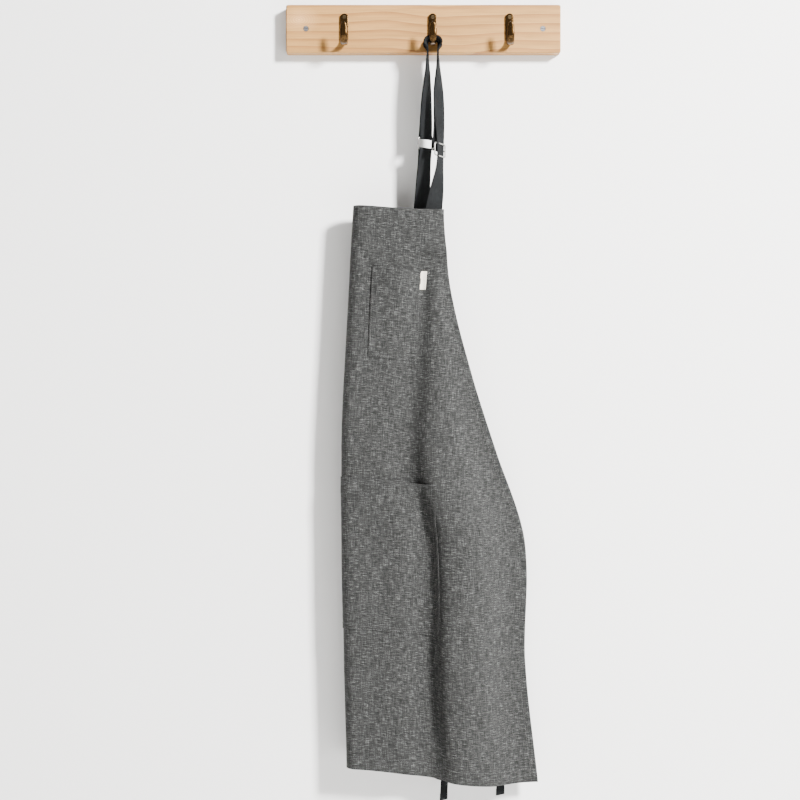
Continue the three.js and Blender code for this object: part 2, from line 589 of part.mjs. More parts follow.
// a round wire bent to a rounded rectangle in a strand's own axes, and joined at its ends
function wireLoop(frame, up, halfWidthMm, halfHeightMm, corner, radius, lift = 0) {
  const sides = 10;
  const positions = [];
  for (const [sx, sz, start] of [[1, 1, 0], [-1, 1, 90], [-1, -1, 180], [1, -1, 270]]) {
    for (const degrees of [0, 22.5, 45, 67.5, 90]) {
      const turn = THREE.MathUtils.degToRad(start + degrees);
      const outward = frame.w.clone().multiplyScalar(Math.cos(turn)).addScaledVector(up, Math.sin(turn));
      const middle = frame.p.clone().addScaledVector(frame.w, sx * (halfWidthMm - corner))
        .addScaledVector(up, sz * (halfHeightMm - corner)).addScaledVector(outward, corner).addScaledVector(frame.n, lift);
      for (let i = 0; i < sides; i += 1) {
        const round = (2 * Math.PI * i) / sides;
        const point = middle.clone().addScaledVector(outward, radius * Math.cos(round))
          .addScaledVector(frame.n, radius * Math.sin(round));
        positions.push(point.x, point.y, point.z);
      }
    }
  }
  const rings = positions.length / 3 / sides;
  const leftHanded = frame.w.clone().cross(up).dot(frame.n) < 0;
  const index = [];
  for (let k = 0; k < rings; k += 1) {
    for (let i = 0; i < sides; i += 1) {
      const [a, b] = [k * sides + i, k * sides + ((i + 1) % sides)];
      const [c, d] = [((k + 1) % rings) * sides + i, ((k + 1) % rings) * sides + ((i + 1) % sides)];
      index.push(...(leftHanded ? [a, b, c, b, d, c] : [a, c, b, b, c, d]));
    }
  }
  const geometry = new THREE.BufferGeometry();
  geometry.setAttribute('position', new THREE.Float32BufferAttribute(positions, 3));
  geometry.setIndex(index);
  return geometry;
}

add('strap_ring', geometryOf(solidOf(wireLoop(ring, ringUp, (RING.inWidth + RING.wire) / 2, barOut, 2, RING.wire / 2))),
  materials.nickel);

// slider: a rail above and one below in front of the strap, and a centre bar behind it
const runUp = straightTop.p.clone().sub(straightEnd.p).normalize();
const slideMiddle = orient(alongStraight(SLIDER.z), runUp);
if (slideMiddle.n.dot(straightEnd.n) < 0) slideMiddle.n.negate();
slideMiddle.p.addScaledVector(slideMiddle.n, LAYER);
const railLift = STRAP.thick / 2 + CLEAR + SLIDER.wire / 2;
const barDrop = STRAP.thick * 1.5 + 2 * CLEAR + SLIDER.wire / 2;
const sideOut = (SLIDER.inWidth + SLIDER.wire) / 2;
function strapSlider() {
  const railHalf = (SLIDER.height - SLIDER.wire) / 2;
  const end = (sign, lift) => slideMiddle.p.clone().addScaledVector(slideMiddle.w, sign * sideOut)
    .addScaledVector(slideMiddle.n, lift);
  const rod = (from, to) => {
    const length = from.distanceTo(to);
    const geometry = new THREE.CylinderGeometry(SLIDER.wire / 2, SLIDER.wire / 2, length, 10);
    geometry.applyQuaternion(new THREE.Quaternion().setFromUnitVectors(vec(0, 1, 0), to.clone().sub(from).normalize()));
    const middle = from.clone().add(to).multiplyScalar(0.5);
    return solidOf(geometry.translate(middle.x, middle.y, middle.z));
  };
  let solid = solidOf(wireLoop(slideMiddle, runUp, sideOut, railHalf, 2, SLIDER.wire / 2, railLift));
  for (const sign of [-1, 1]) solid = solid.add(rod(end(sign, railLift), end(sign, -barDrop - SLIDER.wire / 2)));
  return geometryOf(solid.add(rod(end(-1, -barDrop), end(1, -barDrop))));
}
add('strap_slider', strapSlider(), materials.nickel);

// the strap's end goes round the centre bar and is sewn to itself above it
const sliderBar = { ...slideMiddle, p: slideMiddle.p.clone().addScaledVector(slideMiddle.n, -barDrop) };
const tail = [LOOP_TAIL, 10, 5].map((high) => ({ ...sliderBar, p: sliderBar.p.clone().addScaledVector(runUp, high) }));
const tailLayer = (k, wrap) => (k < tail.length - 1 ? LAYER + 0.2 : (LAYER + wrap) / 2 + 0.1);
add('strap_end_loop', loopedStrap(tail, sliderBar, SLIDER.wire / 2, tailLayer), materials.webbing);

// ---- waist ties ---------------------------------------------------------------------------
// each is sewn to the inner side of its waist corner and hangs between the two halves
const TIE_FRONT_ROUTE = [
  [139.5, -19.8, -731, 78], [129, -21.8, -732, 76], [122.5, -23, -737, 71], [119.5, -22.6, -749, 66],
  [119, -21.5, -768, 62], [118.5, -21, -800, 58], [118, -20.5, -850, 54], [117.5, -20, -905, 52],
  [116.5, -20, -960, 50], [115, -20.5, -1015, 50], [113, -22, -1070, 50], [111.5, -23.5, -1114, 50],
];
const TIE_REAR_ROUTE = [
  [97, -35.2, -731, 80], [91, -36.6, -734, 74], [83, -36.3, -743, 62], [74, -37, -760, 56],
  [66, -38, -785, 52], [58, -38.5, -820, 48], [50.5, -38.5, -865, 44], [44, -38.5, -915, 42],
  [39, -38.5, -965, 41], [35, -38, -1015, 41], [31.5, -38, -1065, 41], [28.8, -38, -1118, 41],
];
for (const [name, route] of [['tie_front', TIE_FRONT_ROUTE], ['tie_rear', TIE_REAR_ROUTE]]) {
  add(name, band(route.map((one) => station(...one)), TIE.width, TIE.thick), materials.webbing);
}

export default apronOnHook;
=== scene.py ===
"""A linen bib apron with webbing ties and a buckled neck strap, hung from a pine hook rail."""
import math

import bmesh
import bpy
import numpy as np
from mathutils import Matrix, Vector, noise


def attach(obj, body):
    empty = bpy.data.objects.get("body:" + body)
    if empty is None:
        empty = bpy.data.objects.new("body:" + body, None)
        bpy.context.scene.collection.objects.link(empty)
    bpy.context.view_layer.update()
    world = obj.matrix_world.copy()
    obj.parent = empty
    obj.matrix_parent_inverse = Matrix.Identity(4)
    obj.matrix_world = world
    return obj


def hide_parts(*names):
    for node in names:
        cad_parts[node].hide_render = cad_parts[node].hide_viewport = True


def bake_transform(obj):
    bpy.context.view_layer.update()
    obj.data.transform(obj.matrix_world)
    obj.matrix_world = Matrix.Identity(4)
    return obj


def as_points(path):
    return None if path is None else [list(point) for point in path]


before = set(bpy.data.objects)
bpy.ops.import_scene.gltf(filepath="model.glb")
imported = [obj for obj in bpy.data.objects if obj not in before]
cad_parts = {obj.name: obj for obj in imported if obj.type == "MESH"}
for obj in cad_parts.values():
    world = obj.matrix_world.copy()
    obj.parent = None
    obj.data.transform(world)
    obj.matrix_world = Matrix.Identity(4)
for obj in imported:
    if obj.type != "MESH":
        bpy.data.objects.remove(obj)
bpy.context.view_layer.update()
bpy.ops.object.select_all(action="DESELECT")

# ---- Camera: a long lens, level with the middle of the hanging apron ------------------------
camera_data = bpy.data.cameras.new("camera")
camera_data.sensor_width = 36.0
camera_data.lens = 74.2
camera_data.clip_end = 30.0
camera = bpy.data.objects.new("camera", camera_data)
bpy.context.collection.objects.link(camera)
camera.location = (-0.034, -2.42, -0.5405)
camera.rotation_euler = (math.radians(90), 0.0, 0.0)
bpy.context.scene.camera = camera

# ---- Room: a painted wall behind the rail, a pale floor and a broad window-like light --------
# The wall is seen from the front only, so the back of the rail can be looked at through it.


def shader(name):
    """A new material with its Principled shader, and helpers that add and join nodes."""
    material = bpy.data.materials.new(name)
    material.use_nodes = True
    nodes = material.node_tree.nodes
    links = material.node_tree.links
    surface = nodes["Principled BSDF"]

    def node(kind, settings=None, **inputs):
        made = nodes.new(kind)
        for key, value in (settings or {}).items():
            setattr(made, key, value)
        for key, value in inputs.items():
            place = int(key[1:]) if key[0] == "i" and key[1:].isdigit() else key.replace("_", " ")
            socket = made.inputs[place]
            if isinstance(value, bpy.types.NodeSocket):
                links.new(value, socket)
            else:
                socket.default_value = value
        return made

    return material, surface, node, links


def ramp(node, factor, stops):
    """A colour ramp through (place, grey or colour) stops."""
    made = node("ShaderNodeValToRGB", Fac=factor)
    elements = made.color_ramp.elements
    while len(elements) < len(stops):
        elements.new(0.5)
    for element, (place, colour) in zip(elements, stops):
        element.position = place
        element.color = (*colour, 1.0) if isinstance(colour, tuple) else (colour, colour, colour, 1.0)
    return made.outputs["Color"]


def blend_colours(node, factor, first, second, mode="MIX"):
    """Two colours mixed, multiplied or overlaid."""
    made = node("ShaderNodeMix", {"data_type": "RGBA", "blend_type": mode})
    for socket, value in ((made.inputs[0], factor), (made.inputs[6], first), (made.inputs[7], second)):
        if isinstance(value, bpy.types.NodeSocket):
            made.id_data.links.new(value, socket)
        else:
            socket.default_value = value if isinstance(value, float) else (*value, 1.0)
    return made.outputs[2]


wall_paint, surface, node, links = shader("wall_paint")
surface.inputs["Base Color"].default_value = (0.86, 0.862, 0.865, 1.0)
surface.inputs["Roughness"].default_value = 0.9
see_through = node("ShaderNodeBsdfTransparent")
which_side = node("ShaderNodeNewGeometry")
both_sides = node("ShaderNodeMixShader", Fac=which_side.outputs["Backfacing"])
links.new(surface.outputs[0], both_sides.inputs[1])
links.new(see_through.outputs[0], both_sides.inputs[2])
links.new(both_sides.outputs[0], wall_paint.node_tree.nodes["Material Output"].inputs["Surface"])

floor_paint, surface, node, links = shader("floor_paint")
surface.inputs["Base Color"].default_value = (0.80, 0.80, 0.79, 1.0)
surface.inputs["Roughness"].default_value = 0.8

for name, corners, paint in (
        ("wall", [(-4, 0.0006, -1.6), (4, 0.0006, -1.6), (4, 0.0006, 2.4), (-4, 0.0006, 2.4)], wall_paint),
        ("floor", [(-4, -6, -1.6), (4, -6, -1.6), (4, 4, -1.6), (-4, 4, -1.6)], floor_paint)):
    plane = bpy.data.meshes.new(name)
    plane.from_pydata(corners, [], [(0, 1, 2, 3)])
    plane.materials.append(paint)
    plane_object = bpy.data.objects.new(name, plane)
    bpy.context.collection.objects.link(plane_object)

world = bpy.data.worlds.new("room")
world.use_nodes = True
world.node_tree.nodes["Background"].inputs[0].default_value = (1.0, 0.96, 0.91, 1.0)
world.node_tree.nodes["Background"].inputs[1].default_value = 0.24
bpy.context.scene.world = world


def area_light(name, place, aim, size, power, colour):
    """A rectangular soft light that looks at aim."""
    light = bpy.data.lights.new(name, "AREA")
    light.shape = "RECTANGLE"
    light.size, light.size_y = size
    light.energy = power
    light.color = colour
    light_object = bpy.data.objects.new(name, light)
    bpy.context.collection.objects.link(light_object)
    light_object.location = place
    light_object.rotation_euler = (Vector(aim) - Vector(place)).to_track_quat("-Z", "Y").to_euler()


area_light("window", (2.35, -2.6, 1.35), (0.0, 0.0, -0.45), (0.5, 0.7), 860, (1.0, 0.985, 0.965))
area_light("room_fill", (-1.4, -3.4, 0.5), (0.0, 0.0, -0.5), (2.5, 2.5), 9, (1.0, 0.975, 0.94))
area_light("rear_fill", (0.6, 2.6, 0.8), (0.0, 0.0, -0.5), (2.0, 2.0), 30, (1.0, 1.0, 1.0))

# ---- Webbing: black woven tape, 24 mm for the neck strap and 16 mm for the waist ties --------
# The two ties are lengths of flat tape, each sewn to a waist corner and hanging limp.
WEBBING_COLOUR = (0.0060, 0.0065, 0.0070)
TIE_WIDTH, TIE_THICK = 0.016, 0.0013


def webbing_material(name, rib):
    """Black tape with fine ribs across it, a herringbone lie and pale worn fibres."""
    made, surface, node, links = shader(name)
    uv = node("ShaderNodeUVMap", {"uv_map": "tape"}).outputs[0]
    apart = node("ShaderNodeSeparateXYZ", Vector=uv)
    across, along = apart.outputs[0], apart.outputs[1]
    lean = node("ShaderNodeMath", {"operation": "PINGPONG"}, i0=across, i1=0.003).outputs[0]
    slanted = node("ShaderNodeMath", {"operation": "MULTIPLY_ADD"}, i0=lean, i1=0.9, i2=along).outputs[0]
    wave = node("ShaderNodeMath", {"operation": "MULTIPLY"}, i0=slanted, i1=2 * math.pi / rib).outputs[0]
    ribs = node("ShaderNodeMath", {"operation": "SINE"}, i0=wave).outputs[0]
    yarns = node("ShaderNodeMath", {"operation": "MULTIPLY"}, i0=across, i1=2 * math.pi / 0.0009).outputs[0]
    rows = node("ShaderNodeMath", {"operation": "SINE"}, i0=yarns).outputs[0]
    weave = node("ShaderNodeMath", {"operation": "MULTIPLY_ADD"}, i0=rows, i1=0.4, i2=ribs).outputs[0]
    high = node("ShaderNodeMapRange", Value=weave, From_Min=-1.4, From_Max=1.4).outputs[0]
    fuzz = node("ShaderNodeTexNoise", Scale=900.0, Detail=3.0, Vector=uv).outputs["Fac"]
    worn = node("ShaderNodeTexNoise", Scale=38.0, Detail=4.0, Vector=uv).outputs["Fac"]
    dark = tuple(0.45 * c for c in WEBBING_COLOUR)
    light = tuple(2.3 * c for c in WEBBING_COLOUR)
    body = blend_colours(node, high, dark, light)
    dusty = ramp(node, fuzz, [(0.55, 0.0), (0.8, 0.013)])
    body = blend_colours(node, 1.0, body, dusty, "ADD")
    patchy = ramp(node, worn, [(0.35, 0.8), (0.7, 1.15)])
    links.new(blend_colours(node, 1.0, body, patchy, "MULTIPLY"), surface.inputs["Base Color"])
    links.new(ramp(node, fuzz, [(0.3, 0.62), (0.75, 0.86)]), surface.inputs["Roughness"])
    surface.inputs["Sheen Weight"].default_value = 0.0
    surface.inputs["Sheen Roughness"].default_value = 0.4
    surface.inputs["Specular IOR Level"].default_value = 0.03
    bumps = node("ShaderNodeMath", {"operation": "MULTIPLY_ADD"}, i0=fuzz, i1=0.3, i2=high).outputs[0]
    bump = node("ShaderNodeBump", Height=bumps, Distance=0.0003, Strength=0.6)
    links.new(bump.outputs[0], surface.inputs["Normal"])
    return made


webbing = webbing_material("neck_webbing", 0.0011)
tie_webbing = webbing_material("tie_webbing", 0.0010)


def station(x, y, z, degrees, cup=0.0):
    """One place on a tape in metres: its middle p, width direction w, outer normal n and cup."""
    turn = math.radians(degrees)
    return (np.array((x, y, z), float), np.array((math.sin(turn), math.cos(turn), 0.0)),
            np.array((math.cos(turn), -math.sin(turn), 0.0)), cup)


def unit(v):
    return v / np.linalg.norm(v)


def smoothed(stations, spacing):
    """Stations at even small steps on a soft curve through the given ones."""
    rows = np.array([np.concatenate([p, w, n, [cup]]) for p, w, n, cup in stations])
    place = [0.0]
    for a, b in zip(rows, rows[1:]):
        place.append(place[-1] + max(np.linalg.norm(b[:3] - a[:3]), 1e-5))
    place = np.array(place)
    slopes = np.empty_like(rows)
    slopes[0] = (rows[1] - rows[0]) / (place[1] - place[0])
    slopes[-1] = (rows[-1] - rows[-2]) / (place[-1] - place[-2])
    for i in range(1, len(rows) - 1):
        before, after = place[i] - place[i - 1], place[i + 1] - place[i]
        slopes[i] = ((rows[i] - rows[i - 1]) / before * after + (rows[i + 1] - rows[i]) / after * before) \
            / (before + after)
    out = []
    for i in range(len(rows) - 1):
        span = place[i + 1] - place[i]
        count = max(1, int(round(span / spacing)))
        for k in range(count):
            u = k / count
            out.append((2 * u**3 - 3 * u**2 + 1) * rows[i] + (u**3 - 2 * u**2 + u) * span * slopes[i]
                       + (3 * u**2 - 2 * u**3) * rows[i + 1] + (u**3 - u**2) * span * slopes[i + 1])
    out.append(rows[-1])
    result = []
    for row in out:
        w = unit(row[3:6])
        n = row[6:9] - w * np.dot(row[6:9], w)
        result.append((row[:3], w, unit(n), row[9]))
    return result


def new_object(name, mesh, *materials):
    """A piece from a finished mesh, at the origin."""
    for material in materials:
        mesh.materials.append(material)
    piece = bpy.data.objects.new(name, mesh)
    bpy.context.collection.objects.link(piece)
    return piece


def face_outward(mesh):
    """Turn every face's normal to the outside."""
    shell = bmesh.new()
    shell.from_mesh(mesh)
    bmesh.ops.recalc_face_normals(shell, faces=shell.faces)
    shell.to_mesh(mesh)
    shell.free()


def bar_faces(rings, sides):
    """The faces of a bar whose points lie in rings along it, with both ends closed."""
    faces = []
    for k in range(rings - 1):
        for i in range(sides):
            j = (i + 1) % sides
            faces.append((k * sides + i, k * sides + j, (k + 1) * sides + j, (k + 1) * sides + i))
    return faces + [tuple(range(sides))[::-1], tuple((rings - 1) * sides + i for i in range(sides))]


def tape(name, stations, width, thick, material, shift=0.0, across=10, hem=0.0, start=0.0):
    """A flat woven tape with soft rounded edges along close stations, with metres in its UV map."""
    edge = thick / 2
    flat = width / 2 - edge
    top = [(flat * (2 * i / across - 1), edge) for i in range(across + 1)]
    turns = [math.radians(a) for a in (45, 0, -45)]
    right = [(flat + edge * math.cos(turn), edge * math.sin(turn)) for turn in turns]
    ring = top + right + [(-u, -h) for u, h in top] + [(-u, -h) for u, h in right]
    points, uvs, lengths = [], [], [start]
    for a, b in zip(stations, stations[1:]):
        lengths.append(lengths[-1] + float(np.linalg.norm(b[0] - a[0])))
    for (p, w, n, cup), length in zip(stations, lengths):
        fuller = 1.0 + (0.75 if hem and lengths[-1] - length < hem else 0.0)
        for u, h in ring:
            lift = shift + h * fuller + cup * (2 * u / width) ** 2
            points.append(tuple(p + w * u + n * lift))
            uvs.append((u + h, length))
    mesh = bpy.data.meshes.new(name)
    mesh.from_pydata(points, [], bar_faces(len(stations), len(ring)))
    layer = mesh.uv_layers.new(name="tape")
    for loop in mesh.loops:
        layer.data[loop.index].uv = uvs[loop.vertex_index]
    for polygon in mesh.polygons:
        polygon.use_smooth = len(polygon.vertices) == 4
    mesh.validate()
    face_outward(mesh)
    return new_object(name, mesh, material)


TIE_FRONT_ROUTE = [
    (139.5, -19.8, -731, 78), (129, -21.8, -732, 76), (122.5, -23, -737, 71), (119.5, -22.6, -749, 66),
    (119, -21.5, -768, 62), (118.5, -21, -800, 58), (118, -20.5, -850, 54), (117.5, -20, -905, 52),
    (116.5, -20, -960, 50), (115, -20.5, -1015, 50), (113, -22, -1070, 50), (111.5, -23.5, -1114, 50)]
TIE_REAR_ROUTE = [
    (97, -35.2, -731, 80), (91, -36.6, -734, 74), (83, -36.3, -743, 62), (74, -37, -760, 56),
    (66, -38, -785, 52), (58, -38.5, -820, 48), (50.5, -38.5, -865, 44), (44, -38.5, -915, 42),
    (39, -38.5, -965, 41), (35, -38, -1015, 41), (31.5, -38, -1065, 41), (28.8, -38, -1118, 41)]
for name, route in (("tie_front", TIE_FRONT_ROUTE), ("tie_rear", TIE_REAR_ROUTE)):
    stops = [station(x / 1000, y / 1000, z / 1000, turn) for x, y, z, turn in route]
    line = smoothed(stops, 0.003)
    piece = tape(name + "_tape", line, TIE_WIDTH, TIE_THICK, tie_webbing, hem=0.010)
    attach(piece, "apron")
    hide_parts(name)
    tuple(stops[0][0])
    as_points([tuple(map(float, one[0])) for one in line[::4]] +
            [tuple(map(float, line[-1][0]))])

# ---- Rail: one planed pine board with eased edges, screwed to the wall at both ends ----------
# The grain runs along it; its knot is near the left end and its ends show the rings.
pine, surface, node, links = shader("pine")
where = node("ShaderNodeTexCoord").outputs["Object"]
moved = node("ShaderNodeMapping", Vector=where, Location=(0.31, 0.10, 0.052),
             Scale=(0.55, 1.0, 1.0)).outputs[0]
drift = node("ShaderNodeTexNoise", Scale=5.5, Detail=2.0, Roughness=0.45, Vector=moved).outputs["Color"]
bent = blend_colours(node, 0.085, moved, drift, "ADD")
grain_at = node("ShaderNodeMapping", Vector=bent, Scale=(1.2, 9.0, 15.0)).outputs[0]
ring_wave = node("ShaderNodeTexWave", {"wave_type": "BANDS", "bands_direction": "Z", "wave_profile": "SAW"},
                 Vector=grain_at, Scale=1.55, Distortion=2.4, Detail=3.0, Detail_Scale=0.8,
                 Detail_Roughness=0.55).outputs["Fac"]
fibre_at = node("ShaderNodeMapping", Vector=where, Scale=(14.0, 420.0, 420.0)).outputs[0]
fibres = node("ShaderNodeTexNoise", Scale=1.0, Detail=4.0, Roughness=0.65, Vector=fibre_at).outputs["Fac"]
rings = ramp(node, ring_wave, [(0.0, (0.365, 0.196, 0.056)), (0.55, (0.342, 0.176, 0.048)),
                               (0.86, (0.288, 0.136, 0.034)),
                               (0.97, (0.235, 0.103, 0.025)), (1.0, (0.365, 0.196, 0.056))])
fine = ramp(node, fibres, [(0.30, 0.82), (0.62, 1.08)])
wood = blend_colours(node, 1.0, rings, fine, "MULTIPLY")
knot_at = node("ShaderNodeMapping", Vector=where, Location=(0.181, 0.0, -0.021),
               Scale=(1.0, 0.0, 1.6)).outputs[0]
knot_far = node("ShaderNodeVectorMath", {"operation": "LENGTH"}, i0=knot_at).outputs["Value"]
knot = ramp(node, knot_far, [(0.0, 0.75), (0.012, 0.35), (0.034, 0.0)])
knot_rings = node("ShaderNodeMath", {"operation": "MULTIPLY"}, i0=knot_far, i1=1700.0).outputs[0]
knot_line = node("ShaderNodeMath", {"operation": "SINE"}, i0=knot_rings).outputs[0]
knot_tone = ramp(node, knot_line, [(0.0, (0.55, 0.30, 0.12)), (1.0, (0.70, 0.43, 0.20))])
wood = blend_colours(node, knot, wood, knot_tone)
patches = node("ShaderNodeTexNoise", Scale=16.0, Detail=3.0, Vector=moved).outputs["Fac"]
patch_tone = ramp(node, patches, [(0.3, (0.93, 0.90, 0.86)), (0.7, (1.04, 1.03, 1.02))])
wood = blend_colours(node, 1.0, wood, patch_tone,
                     "MULTIPLY")
links.new(wood, surface.inputs["Base Color"])
links.new(ramp(node, fibres, [(0.2, 0.42), (0.8, 0.60)]), surface.inputs["Roughness"])
surface.inputs["Specular IOR Level"].default_value = 0.4
relief = node("ShaderNodeMath", {"operation": "MULTIPLY_ADD"}, i0=ring_wave, i1=0.5, i2=fibres).outputs[0]
links.new(node("ShaderNodeBump", Height=relief, Distance=0.0003, Strength=0.35).outputs[0],
          surface.inputs["Normal"])


def finish_nodes(material, *names):
    """CAD nodes whose shape is right keep it and take a finished material."""
    for name in names:
        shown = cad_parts[name]
        shown.data.materials.clear()
        shown.data.materials.append(material)


finish_nodes(pine, "backboard")

# ---- Fixings: two countersunk steel screws hold the board, brass ones hold each hook ----------


def metal_material(name, dark, light, rough, scale, tarnish):
    """Plated metal: brighter where it is rubbed, darker and duller where it has tarnished."""
    made, surface, node, links = shader(name)
    where = node("ShaderNodeTexCoord").outputs["Object"]
    cloudy = node("ShaderNodeTexNoise", Scale=scale, Detail=5.0, Roughness=0.6, Vector=where).outputs["Fac"]
    speck = node("ShaderNodeTexNoise", Scale=scale * 9, Detail=2.0, Vector=where).outputs["Fac"]
    tone = ramp(node, cloudy, [(0.5 - tarnish, dark), (0.5 + tarnish, light)])
    tone = blend_colours(node, 1.0, tone, ramp(node, speck, [(0.35, 0.86), (0.6, 1.04)]), "MULTIPLY")
    links.new(tone, surface.inputs["Base Color"])
    links.new(ramp(node, cloudy, [(0.3, rough + 0.14), (0.7, rough)]), surface.inputs["Roughness"])
    surface.inputs["Metallic"].default_value = 1.0
    links.new(node("ShaderNodeBump", Height=speck, Distance=0.00008, Strength=0.5).outputs[0],
              surface.inputs["Normal"])
    return made


dark_steel = metal_material("dark_steel", (0.10, 0.10, 0.105), (0.33, 0.33, 0.34), 0.38, 320.0, 0.18)
antique_brass = metal_material("antique_brass", (0.012, 0.0075, 0.0040), (0.125, 0.068, 0.024),
                               0.19, 110.0, 0.24)
dark_brass = metal_material("dark_brass", (0.035, 0.025, 0.016), (0.14, 0.10, 0.055), 0.34, 300.0, 0.18)
nickel = metal_material("nickel", (0.17, 0.17, 0.165), (0.40, 0.395, 0.38), 0.22, 240.0, 0.20)
finish_nodes(dark_steel, "wall_screw_left", "wall_screw_right")
finish_nodes(dark_brass, *[f"hook_screw_{side}_{level}" for side in ("left", "middle", "right")
                           for level in ("upper", "lower")])

# ---- Hooks: three cast brass hooks with an antique finish, each screwed on through its plate --
# A flat plate with round ends carries a J-shaped arm, oval in section, that ends in a rounded tongue.
# The arm's places and half sizes are in mm, the plate's in metres.
HOOK_X = {"hook_left": -0.115, "hook_middle": 0.0135, "hook_right": 0.1255}
PLATE_BACK, PLATE_FRONT, PLATE_HALF, PLATE_TOP, PLATE_FOOT = -0.0203, -0.0228, 0.006, 0.0217, -0.020


def oval_bar(spine, sides=24):
    """A closed bar: spine holds (y, z, half width, half thickness) stops in mm."""
    at = np.array(spine, float)
    fine = [(1 - k) * a + k * b for a, b in zip(at, at[1:]) for k in (0.0, 0.25, 0.5, 0.75)] + [at[-1]]
    for _ in range(3):
        fine = [fine[0]] + [(a + 2 * b + c) / 4 for a, b, c in zip(fine, fine[1:], fine[2:])] + [fine[-1]]
    points = []
    for k, stop in enumerate(fine):
        ahead = fine[min(k + 1, len(fine) - 1)][:2] - fine[max(k - 1, 0)][:2]
        normal = np.array((-ahead[1], ahead[0])) / np.linalg.norm(ahead)
        for i in range(sides):
            turn = 2 * math.pi * i / sides
            c, d = math.cos(turn), math.sin(turn)
            wide = stop[2] * math.copysign(abs(c) ** 0.8, c)
            high = stop[3] * math.copysign(abs(d) ** 0.8, d)
            y, z = stop[:2] + normal * high
            points.append((wide / 1000, y / 1000, z / 1000))
    return points, bar_faces(len(fine), sides)


def arc_stops(y, z, wide, high, first, last, count):
    """Places on an oval in Y and Z, in mm, from one angle to another."""
    turns = [math.radians(first + (last - first) * i / count) for i in range(count + 1)]
    return [(y + wide * math.cos(turn), z + high * math.sin(turn)) for turn in turns]


arm_line = [(-21.6, -2, 4.6, 0.9), (-21.6, -8, 5.0, 1.3)]
arm_line += [(y, z, 5.0, 1.7) for y, z in arc_stops(-32.8, -13, 11.2, 12.0, 0, -90, 7)]
arm_line += [(y, z, 5.0, 1.95) for y, z in arc_stops(-39.8, -13, 11.7, 12.0, -90, -180, 7)]
arm_line += [(-51.7, -8, 4.9, 1.8), (-52.0, -3, 4.6, 1.7), (-52.6, 0.6, 3.7, 1.5), (-53.0, 2.2, 2.2, 1.0),
             (-53.1, 2.9, 0.7, 0.4)]
arm_points, arm_faces = oval_bar(arm_line)
for name, x in HOOK_X.items():
    bpy.ops.mesh.primitive_cylinder_add(vertices=48, radius=PLATE_HALF, depth=PLATE_BACK - PLATE_FRONT,
                                        location=(x, (PLATE_BACK + PLATE_FRONT) / 2, 0),
                                        rotation=(math.pi / 2, 0, 0))
    hook = bpy.context.object
    hook.name = name + "_cast"
    bpy.ops.object.transform_apply(location=True, rotation=True, scale=True)
    for vertex in hook.data.vertices:
        reach = (PLATE_TOP if vertex.co.z > 0 else -PLATE_FOOT) - PLATE_HALF
        vertex.co.z += math.copysign(reach, vertex.co.z)
    bevel = hook.modifiers.new("soft_edge", "BEVEL")
    bevel.width, bevel.segments, bevel.limit_method = 0.0008, 3, "ANGLE"
    bpy.ops.object.modifier_apply(modifier="soft_edge")
    arm = bpy.data.meshes.new(name + "_arm")
    arm.from_pydata([(p[0] + x, p[1], p[2]) for p in arm_points], [], arm_faces)
    face_outward(arm)
    arm_object = new_object(name + "_arm", arm)
    join = hook.modifiers.new("cast_in_one", "BOOLEAN")
    join.operation, join.object, join.solver = "UNION", arm_object, "EXACT"
    bpy.ops.object.modifier_apply(modifier="cast_in_one")
    bpy.data.objects.remove(arm_object)
    bpy.ops.object.shade_smooth_by_angle(angle=math.radians(38))
    hook.data.materials.clear()
    hook.data.materials.append(antique_brass)
    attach(hook, "rack")
    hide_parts(name)
    hook.select_set(False)

# ---- Apron body: one piece of chambray linen, 60 by 82.5 cm, folded down its middle ----------
# The bib is 27.7 cm wide and cut away in two armhole curves; all its edges are hemmed. It hangs by
# the bib's two corners, so the front half falls in a valley and a ridge and the rear one in waves.
BIB_HALF, SKIRT_HALF, WAIST_AT, CLOTH_LENGTH = 138.5, 300.0, 455.0, 825.0   # mm on the flat cloth
FOLD_RADIUS, FRONT_Y, BIB_TOP_Z = 14.0, -55.0, -260.6
FOLD_X = [(0, -101), (180, -110.5), (345, -118), (640, -115), (825, -110.5)]
FRONT_EDGE_X = [(0, 30), (112, 38.5), (235, 69), (350, 106), (455, 143), (520, 150), (650, 148), (825, 166)]
REAR_EDGE_X = [(0, 9.5), (112, 29), (235, 56), (350, 84), (455, 108), (560, 102), (825, 98)]
RISE_S = [(0, 125), (225, 125), (380, 127), (470, 150), (825, 152)]
REAR_WAVE = 86.0
HALF_CLOTH = 0.55                       # half the thickness of single cloth, mm
SIDE_HEM, FOOT_HEM, BIB_HEM = 11.0, 20.0, 26.0
HEM_SEAM = 1.5                          # from a hem's turned edge in to its seam, mm


def through(table, place):
    """A smooth value through (place, value) pairs."""
    last = len(table) - 1
    if place <= table[0][0]:
        return table[0][1]
    if place >= table[last][0]:
        return table[last][1]
    i = 0
    while place > table[i + 1][0]:
        i += 1

    def slope(k):
        a, b = table[max(k - 1, 0)], table[min(k + 1, last)]
        return (b[1] - a[1]) / (b[0] - a[0])

    span = table[i + 1][0] - table[i][0]
    u = (place - table[i][0]) / span
    return ((2 * u**3 - 3 * u**2 + 1) * table[i][1] + (u**3 - 2 * u**2 + u) * span * slope(i)
            + (3 * u**2 - 2 * u**3) * table[i + 1][1] + (u**3 - u**2) * span * slope(i + 1))


def smooth(u):
    v = np.clip(u, 0.0, 1.0)
    return v * v * (3 - 2 * v)


def bump(u):
    return np.exp(-np.square(u))


def half_width(t):
    return BIB_HALF + (SKIRT_HALF - BIB_HALF) * min(max(t / WAIST_AT, 0.0), 1.0) ** 1.55


TURN_LENGTH = FOLD_RADIUS * math.pi / 2


